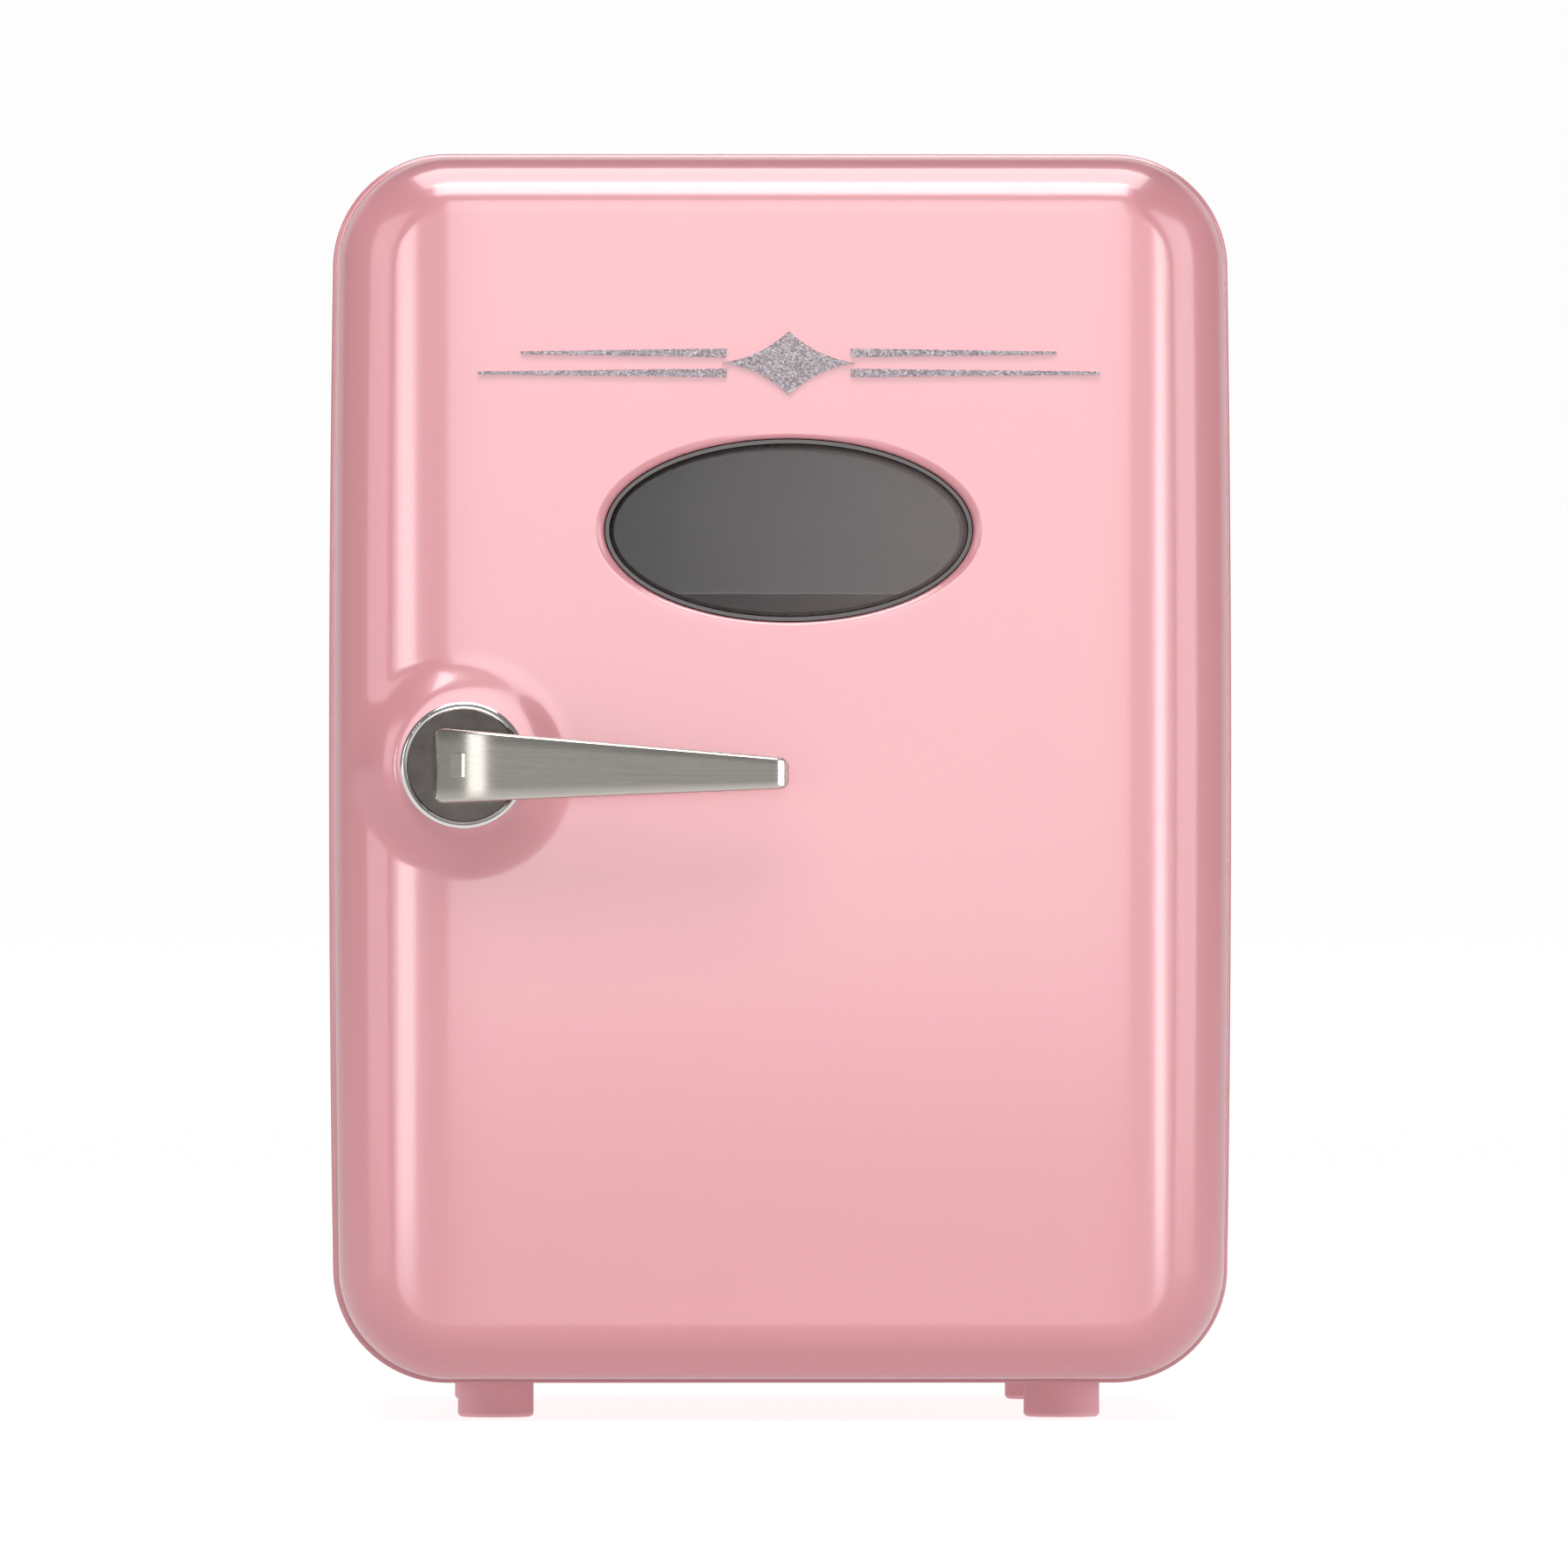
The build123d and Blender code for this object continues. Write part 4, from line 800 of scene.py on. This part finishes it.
leverMesh = buildLever()
addPiece("leverSkin", leverMesh[0], leverMesh[1], "lever", "lever", 32)
print("lever")


def nodeTree(name, wanted):
    # geometry tree with a mesh in, a mesh out and the wanted inputs
    tree = bpy.data.node_groups.new(name, "GeometryNodeTree")
    tree.interface.new_socket(name="Geometry", in_out="INPUT", socket_type="NodeSocketGeometry")
    for label, kind in wanted:
        tree.interface.new_socket(name=label, in_out="INPUT", socket_type="NodeSocket" + kind)
    tree.interface.new_socket(name="Geometry", in_out="OUTPUT", socket_type="NodeSocketGeometry")
    return tree


def growInstances(name, wanted, arrange):
    # arrange(tree, given) returns the instanced geometry; it is realised and given its finish
    tree = nodeTree(name, [*wanted, ("Finish", "Material")])
    given = tree.nodes.new("NodeGroupInput").outputs
    instances = arrange(tree, given)
    real = tree.nodes.new("GeometryNodeRealizeInstances")
    coat = tree.nodes.new("GeometryNodeSetMaterial")
    out = tree.nodes.new("NodeGroupOutput")
    tree.links.new(instances, real.inputs[0])
    tree.links.new(real.outputs[0], coat.inputs["Geometry"])
    tree.links.new(given["Finish"], coat.inputs["Material"])
    tree.links.new(coat.outputs[0], out.inputs[0])
    return tree


def inRow(tree, given):
    line = tree.nodes.new("GeometryNodeMeshLine")
    tree.links.new(given["Count"], line.inputs["Count"])
    tree.links.new(given["Step"], line.inputs["Offset"])
    place = tree.nodes.new("GeometryNodeInstanceOnPoints")
    tree.links.new(line.outputs[0], place.inputs["Points"])
    tree.links.new(given["Geometry"], place.inputs["Instance"])
    return place.outputs[0]


def inRing(tree, given):
    # copies of a piece drawn about the Y axis, turned evenly round it
    line = tree.nodes.new("GeometryNodeMeshLine")
    line.inputs["Offset"].default_value = (0, 0, 0)
    tree.links.new(given["Count"], line.inputs["Count"])
    place = tree.nodes.new("GeometryNodeInstanceOnPoints")
    index = tree.nodes.new("GeometryNodeInputIndex")
    share = tree.nodes.new("ShaderNodeMath")
    share.operation = "DIVIDE"
    turn = tree.nodes.new("ShaderNodeMath")
    turn.operation = "MULTIPLY"
    turn.inputs[1].default_value = 2 * math.pi
    axis = tree.nodes.new("ShaderNodeCombineXYZ")
    tree.links.new(index.outputs[0], share.inputs[0])
    tree.links.new(given["Count"], share.inputs[1])
    tree.links.new(share.outputs[0], turn.inputs[0])
    tree.links.new(turn.outputs[0], axis.inputs["Y"])
    tree.links.new(line.outputs[0], place.inputs["Points"])
    tree.links.new(given["Geometry"], place.inputs["Instance"])
    tree.links.new(axis.outputs[0], place.inputs["Rotation"])
    return place.outputs[0]


def onSpots(tree, given):
    # copies of the Pattern object on the points of the mesh
    pattern = tree.nodes.new("GeometryNodeObjectInfo")
    tree.links.new(given["Pattern"], pattern.inputs["Object"])
    place = tree.nodes.new("GeometryNodeInstanceOnPoints")
    tree.links.new(given["Geometry"], place.inputs["Points"])
    tree.links.new(pattern.outputs["Geometry"], place.inputs["Instance"])
    return place.outputs[0]


rowTree = growInstances("inRow", [("Count", "Int"), ("Step", "Vector")], inRow)
ringTree = growInstances("inRing", [("Count", "Int")], inRing)
spotTree = growInstances("onSpots", [("Pattern", "Object")], onSpots)


def rawMesh(name, verts, faces):
    mesh = bpy.data.meshes.new(name)
    mesh.from_pydata([(x * mm, y * mm, z * mm) for x, y, z in verts], [], faces)
    return mesh


def grown(mesh, tree, **values):
    # runs the tree on the mesh and returns points (mm) and faces of the result
    base = bpy.data.objects.new("growing", mesh)
    scene.collection.objects.link(base)
    modifier = base.modifiers.new("grow", "NODES")
    modifier.node_group = tree
    for item in tree.interface.items_tree:
        if item.in_out == "INPUT" and item.name in values:
            modifier[item.identifier] = values[item.name]
    graph = bpy.context.evaluated_depsgraph_get()
    made = bpy.data.meshes.new_from_object(base.evaluated_get(graph))
    verts = [tuple(v.co / mm) for v in made.vertices]
    faces = [tuple(p.vertices) for p in made.polygons]
    bpy.data.objects.remove(base)
    bpy.data.meshes.remove(made)
    return verts, faces


def boxOf(low, high):
    verts = list(itertools.product(*zip(low, high)))
    faces = [(0, 1, 3, 2), (4, 6, 7, 5), (0, 4, 5, 1), (2, 3, 7, 6), (0, 2, 6, 4), (1, 5, 7, 3)]
    return verts, faces


def moved(shape, offset):
    return [(x + offset[0], y + offset[1], z + offset[2]) for x, y, z in shape[0]], shape[1]


screws = {
    "segments": 28,
    "recess": 0.42,  # depth of the cross recess, as a share of the head's height
    "groups": (
        # node, body, head radius, shank radius, bearing face, tip, head height, places (x, z)
        ("rear_cover_screws", "cabinet", 3.0, 1.6, 119.0, 90.0, 2.2,
         [(x, z) for x in (-84, 84) for z in (60, 215)]),
        ("hinge_screws", "cabinet", 2.0, 1.0, -77.5, -65.0, 0.9,
         [(86.4, z + side) for z in (46, 228) for side in (-8.5, 8.5)]),
        ("strike_screws", "cabinet", 1.7, 1.0, -77.7, -65.0, 0.7, [(-86.0, 128.8), (-86.0, 146.4)]),
        ("cold_cover_screws", "cabinet", 2.2, 1.2, 51.0, 70.0, 1.0,
         [(x, z) for x in (-38, 38) for z in (92, 168)]),
        ("cold_fan_screws", "cabinet", 2.6, 1.5, 54.4, 70.0, 1.2,
         [(x, z) for x in (-20, 20) for z in (110, 150)]),
        ("hot_fan_screws", "cabinet", 2.8, 1.5, 120.6, 92.0, 1.8,
         [(x, z) for x in (-25, 25) for z in (105, 155)]),
        ("board_screws", "cabinet", 2.4, 1.2, 96.0, 104.0, 1.2,
         [(x, z) for x in (-56, 56) for z in (28, 80)]),
        ("liner_screws", "door", 2.1, 1.2, -81.7, -94.0, 0.9,
         [(-84, 60), (-84, 215), (84, 80), (84, 194)]),
    ),
}


def screwShape(headRadius, shankRadius, face, tip, headHeight):
    # domed head with a cross recess; the star-shaped rings form the recess walls
    outward = 1 if face > tip else -1
    segments = screws["segments"]
    arm, root = headRadius * 0.62, headRadius * 0.2

    def ring(radius, y, star=0.0):
        points = []
        for k in range(segments):
            turn = 2 * math.pi * k / segments
            reach = radius
            if star:
                inArm = k % (segments // 4) in (0, 1, segments // 4 - 1)
                reach = arm * star if inArm else root * star
            points.append((reach * math.cos(turn), y, reach * math.sin(turn)))
        return points

    top = face + outward * headHeight
    floor = top - outward * headHeight * screws["recess"]
    rings = [
        ring(0.02, tip),
        ring(shankRadius * 0.85, tip + outward * 1.0),
        ring(shankRadius, tip + outward * 1.6),
        ring(shankRadius, face),
        ring(headRadius, face),
        ring(headRadius, face + outward * headHeight * 0.35),
        ring(headRadius * 0.93, face + outward * headHeight * 0.72),
        ring(headRadius * 0.8, top - outward * headHeight * 0.06),
        ring(headRadius * 0.7, top),
        ring(0, top, 1.0),
        ring(0, floor, 0.9),
        ring(0.02, floor),
    ]
    return loftRings(rings, capEnds=True)


def buildScrews():
    for node, owner, headRadius, shankRadius, face, tip, height, spots in screws["groups"]:
        shape = screwShape(headRadius, shankRadius, face, tip, height)
        pattern = bpy.data.objects.new("pattern", rawMesh("pattern", *shape))
        scene.collection.objects.link(pattern)
        spotMesh = rawMesh("spots", [(x, 0, z) for x, z in spots], [])
        finish = finishes[slotFinish[nodeSlot[node]]]
        shape = grown(spotMesh, spotTree, Pattern=pattern, Finish=finish)
        bpy.data.objects.remove(pattern)
        first, *others = node.split("_")
        addPiece(first + "".join(word.capitalize() for word in others), *shape, owner, node, 40)


buildScrews()
print("screws")

shelf = {
    "side": 69.2,
    "front": -61.0,
    "back": 48.0,
    "low": 169.5,
    "high": 172.5,
    "bars": 9,
    "pitch": 9.0,
    "barWidth": 4.6,
    "firstBar": -41.0,
    "slotsFrom": -47.7,
    "slotsTo": 37.7,
    "ribs": ((-69.2, -63.0), (-25.0, -19.0), (19.0, 25.0), (63.0, 69.2)),
    "lip": ((-66.0, -62.0, 167.9), (66.0, -59.0, 174.1)),
}


def roundBar(fromX, toX, y, z, width, height, segments=16):
    # bar along X; its section is a box with well rounded corners
    def swell(value):
        return math.copysign(abs(value) ** 0.4, value)

    rings = []
    for x in (fromX, toX):
        ring = []
        for k in range(segments):
            turn = 2 * math.pi * (k + 0.5) / segments
            ring.append((x, y + width / 2 * swell(math.cos(turn)), z + height / 2 * swell(math.sin(turn))))
        rings.append(ring)
    return loftRings(rings, capEnds=True)


def buildShelf():
    side, low, high = shelf["side"], shelf["low"], shelf["high"]
    slotsFrom, slotsTo = shelf["slotsFrom"], shelf["slotsTo"]
    middle, thick = (low + high) / 2, high - low
    bar = roundBar(0.5 - side, side - 0.5, shelf["firstBar"], middle, shelf["barWidth"], thick - 0.1)
    bars = grown(rawMesh("bar", *bar), rowTree, Count=shelf["bars"], Step=(0, shelf["pitch"] * mm, 0),
                 Finish=finishes["shelfFrost"])
    ribs = [boxOf((left, slotsFrom - 0.5, low + 0.03), (right, slotsTo + 0.5, high - 0.03))
            for left, right in shelf["ribs"]]
    frontBand = boxOf((-side, shelf["front"], low), (side, slotsFrom, high))
    backBand = boxOf((-side, slotsTo, low), (side, shelf["back"], high))
    (fromX, fromY, fromZ), (toX, toY, toZ) = shelf["lip"]
    lip = roundBar(fromX, toX, (fromY + toY) / 2, (fromZ + toZ) / 2, toY - fromY, toZ - fromZ, 24)
    addPiece("shelfTray", *join(bars, *ribs, frontBand, backBand, lip), "shelf", "shelf", 30)


buildShelf()
print("shelf")

fans = {
    "blades": 7,
    "axisZ": 130.0,
    "pitch": 35.0,
    "shaft": 1.6,
    "wall": 1.4,
    "rotors": (
        # node, hub radius, tip radius, front, back
        ("cold_fan_rotor", 9.0, 22.4, 54.9, 62.1),
        ("hot_fan_rotor", 12.0, 27.4, 106.2, 118.3),
    ),
}


def bladeShape(hub, tip, front, back):
    # twisted, cambered blade that starts inside the hub
    rings = []
    middle = (front + back) / 2
    for k in range(9):
        radius = hub - 0.6 + (tip - hub + 0.6) * k / 8
        chord = (back - front) * 0.46 / math.sin(math.radians(fans["pitch"])) * (1 - 0.08 * k / 8)
        twist = math.radians(fans["pitch"] + 12 - 16 * k / 8)
        ring = []
        for side in (1, -1):
            for j in range(7):
                s = (-1 + 2 * j / 6) * side
                thick = 0.55 * side * (1 - 0.75 * s * s)
                camber = 0.9 * (1 - s * s)
                along = s * chord * 0.72
                ring.append((
                    radius,
                    middle + along * math.sin(twist) + (thick + camber) * math.cos(twist),
                    along * math.cos(twist) - (thick + camber) * math.sin(twist),
                ))
        rings.append(ring)
    verts, faces = loftRings(rings, capEnds=True)
    rounded = []
    for x, y, z in verts:
        # wrap the blade round the axis and keep it inside the fan's depth
        turn = z / max(hub, x)
        rounded.append((x * math.cos(turn), min(max(y, front + 0.2), back - 0.2), x * math.sin(turn)))
    return rounded, faces


def buildFans():
    shaft, wall = fans["shaft"], fans["wall"]
    for node, hub, tip, front, back in fans["rotors"]:
        blade = rawMesh("blade", *bladeShape(hub, tip, front, back))
        blades = grown(blade, ringTree, Count=fans["blades"], Finish=finishes["fanBlack"])
        cup = [
            (shaft, front + 1.4), (shaft, back - 0.05), (3.4, back - 0.05), (3.4, front + 2.0),
            (hub - wall, front + 2.0), (hub - wall, back), (hub, back), (hub, front + 1.5),
            (hub - 0.3, front + 0.9), (hub - 0.9, front + 0.62), (0.6, front + 0.6), (0.6, front + 1.4),
        ]
        rotor = join(moved(blades, (0, 0, fans["axisZ"])), lathe(cup, (0, fans["axisZ"]), 64))
        side = node.split("_")[0]
        addPiece(side + "FanBlades", *rotor, side + "_fan", node, 35)


buildFans()
print("fans")

sinks = {
    "axisZ": 130.0,
    "finThick": 1.2,
    "pieces": (
        # node, half width, half height, base from, base to, fins from, fins to, fins
        ("cold_heatsink", 29.5, 29.5, 76.6, 80.0, 66.0, 77.0, 13),
        ("hot_heatsink", 42.0, 36.0, 88.0, 91.6, 91.2, 105.0, 15),
    ),
}


def buildSinks():
    thick = sinks["finThick"]
    for node, halfWidth, halfHeight, baseFrom, baseTo, finFrom, finTo, count in sinks["pieces"]:
        low, high = sinks["axisZ"] - halfHeight, sinks["axisZ"] + halfHeight
        fin = boxOf((-halfWidth, finFrom, low + 0.02), (-halfWidth + thick, finTo, high - 0.02))
        step = (2 * halfWidth - thick) / (count - 1) * mm
        fins = grown(rawMesh("fin", *fin), rowTree, Count=count, Step=(step, 0, 0),
                     Finish=finishes["aluminium"])
        base = boxOf((-halfWidth, baseFrom, low), (halfWidth, baseTo, high))
        addPiece(node.split("_")[0] + "Heatsink", *join(base, fins), "cabinet", node, 30)


buildSinks()
print("heatsinks")


studio = {
    "distance": 5.0,  # camera to the door face, metres
    "aside": 0.09,  # how far the camera stands to the left
    "frameWidth": 0.328,  # width seen at the door face
    "eye": (0.0002, 0.1337),
    "ambient": 0.24,
    "mirrored": 0.20,  # what polished pieces see around them
    "floorBase": 0.35,
    "floorLit": 0.5,  # its own glow, as the fridge sees it
    "floorSeen": 0.85,  # and as the camera does
    "floorWidth": 18.0,
    "floorFront": -9.0,
    "floorBend": 7.5,  # where the floor starts to rise into the backdrop
    "bendRadius": 1.5,
    "backdropTop": 6.0,
    "middle": (0, 0, 0.13),
    "lights": (
        # name, place, aim (or the middle), size, radiance, what it does
        ("sheenPanel", (0.15, -3.3, 0.97), (0, -0.1, 0.3), (2.2, 1.9), 5.1, "sheen"),
        ("keyPanel", (0.1, -1.95, 1.3), None, (1.4, 0.8), 1.75, "fill"),
        ("rightFill", (1.7, -0.5, 0.5), None, (0.8, 1.0), 2.6, "fill"),
        ("leftFill", (-1.7, 0.3, 0.5), None, (0.8, 1.0), 2.0, "fill"),
        ("rearFill", (0, 2.2, 0.9), None, (1.4, 0.9), 3.0, "fill"),
        ("leftSheen", (-1.9, -1.2, 0.4), None, (1.5, 1.5), 2.2, "sheen"),
        ("rightSheen", (1.9, -1.2, 0.4), None, (1.5, 1.5), 3.2, "sheen"),
        ("leftStrip", (-0.79, -1.62, 0.135), (0, -0.1, 0.135), (0.14, 0.36), 12.0, "paintwork"),
        ("rightStrip", (0.87, -1.62, 0.135), (0, -0.1, 0.135), (0.085, 0.36), 17.0, "paintwork"),
        ("topPanel", (0, -0.86, 1.31), (0, -0.1, 0.26), (1.2, 0.6), 10.5, "gloss"),
        ("topFill", (0, -0.86, 1.31), (0, -0.1, 0.26), (1.2, 0.6), 8.0, "fill"),
        ("rimPanel", (0, -0.3, 2.6), (0, -0.1, 0.26), (3.0, 2.0), 6.0, "sheen"),
        ("leverPanel", (-1.1, -1.55, 0.13), (0, -0.1, 0.13), (0.75, 0.9), 2.2, "metal"),
        ("tipPanel", (1.5, -1.0, 0.13), (0, -0.1, 0.13), (1.2, 0.9), 9.0, "metal"),
        ("cavityGlow", (0, -0.02, 0.236), (0, -0.03, 0.17), (0.08, 0.05), 7.0, "all"),
    ),
    "roles": {
        # role: seen in reflections, lights matt surfaces, finishes it shines on
        "sheen": (True, False, ("glossPink",)),
        "paintwork": (True, True, ("glossPink",)),
        "metal": (True, True, ("satinNickel", "chrome")),
        "gloss": (True, False, ()),
        "fill": (False, True, ()),
        "all": (True, True, ()),
    },
}


def areaLight(name, place, aim, size, radiance, role):
    # a soft panel of the stated radiance
    glossy, diffuse, wanted = studio["roles"][role]
    data = bpy.data.lights.new(name, "AREA")
    data.shape = "RECTANGLE"
    data.size, data.size_y = size
    data.energy = radiance * math.pi * size[0] * size[1]
    lamp = bpy.data.objects.new(name, data)
    lamp.location = place
    lamp.rotation_mode = "QUATERNION"
    way = Vector(aim or studio["middle"]) - Vector(place)
    lamp.rotation_quaternion = way.to_track_quat("-Z", "Y")
    lamp.visible_camera = False
    lamp.visible_glossy = glossy
    lamp.visible_diffuse = diffuse
    scene.collection.objects.link(lamp)
    if wanted:
        receivers = bpy.data.collections.new(name + "Receivers")
        materials = [finishes[finish] for finish in wanted]
        for piece in scene.objects:
            slots = piece.material_slots
            if piece.type == "MESH" and slots and slots[0].material in materials:
                receivers.objects.link(piece)
        lamp.light_linking.receiver_collection = receivers


def mixColors(tree, factor, first, second):
    mix = tree.nodes.new("ShaderNodeMix")
    mix.data_type = "RGBA"
    tree.links.new(factor, mix.inputs[0])
    for slot, value in ((6, first), (7, second)):
        if isinstance(value, float):
            mix.inputs[slot].default_value = (value, value, value, 1)
        else:
            tree.links.new(value, mix.inputs[slot])
    return mix.outputs[2]


def buildCamera():
    data = bpy.data.cameras.new("camera")
    data.sensor_width = 36
    data.lens = 36 * studio["distance"] / studio["frameWidth"]
    data.clip_end = 60
    camera = bpy.data.objects.new("camera", data)
    eyeX, eyeZ = studio["eye"]
    camera.location = (eyeX - studio["aside"], door["face"] * mm - studio["distance"], eyeZ)
    camera.rotation_mode = "QUATERNION"
    aim = Vector((eyeX, door["face"] * mm, eyeZ))
    camera.rotation_quaternion = (aim - camera.location).to_track_quat("-Z", "Y")
    scene.collection.objects.link(camera)
    scene.camera = camera


def buildWorld():
    world = bpy.data.worlds.new("studioWorld")
    scene.world = world
    world.use_nodes = True
    tree = world.node_tree
    path = tree.nodes.new("ShaderNodeLightPath")
    seen = mixColors(tree, path.outputs["Is Glossy Ray"], studio["ambient"], studio["mirrored"])
    seen = mixColors(tree, path.outputs["Is Camera Ray"], seen, 1.0)
    tree.links.new(seen, tree.nodes["Background"].inputs[0])


def buildFloor():
    # floor that rises into a backdrop
    radius, bend, half = studio["bendRadius"], studio["floorBend"], studio["floorWidth"] / 2
    profile = [(studio["floorFront"], 0.0), (bend, 0.0)] + arcPoints((bend, radius), radius, -90, 0, 12)
    profile.append((bend + radius, studio["backdropTop"]))
    verts = [(x, y, z) for y, z in profile for x in (-half, half)]
    faces = [(2 * k, 2 * k + 1, 2 * k + 3, 2 * k + 2) for k in range(len(profile) - 1)]
    mesh = bpy.data.meshes.new("floor")
    mesh.from_pydata(verts, [], faces)
    base, lit, seen = (studio[key] for key in ("floorBase", "floorLit", "floorSeen"))
    pale = Finish("paleFloor", (base, base, base), 0.9, Emission_Strength=1.0)
    toCamera = pale.node("ShaderNodeLightPath")[0]
    pale.feed("Emission Color", pale.blend(toCamera, (lit, lit, lit, 1), (seen, seen, seen, 1)))
    mesh.materials.append(pale.material)
    mesh.shade_smooth()
    floor = bpy.data.objects.new("floor", mesh)
    scene.collection.objects.link(floor)


def buildStudio():
    buildCamera()
    buildWorld()
    for row in studio["lights"]:
        areaLight(*row)
    buildFloor()
    scene.view_settings.view_transform = "Standard"


buildStudio()
print("studio")
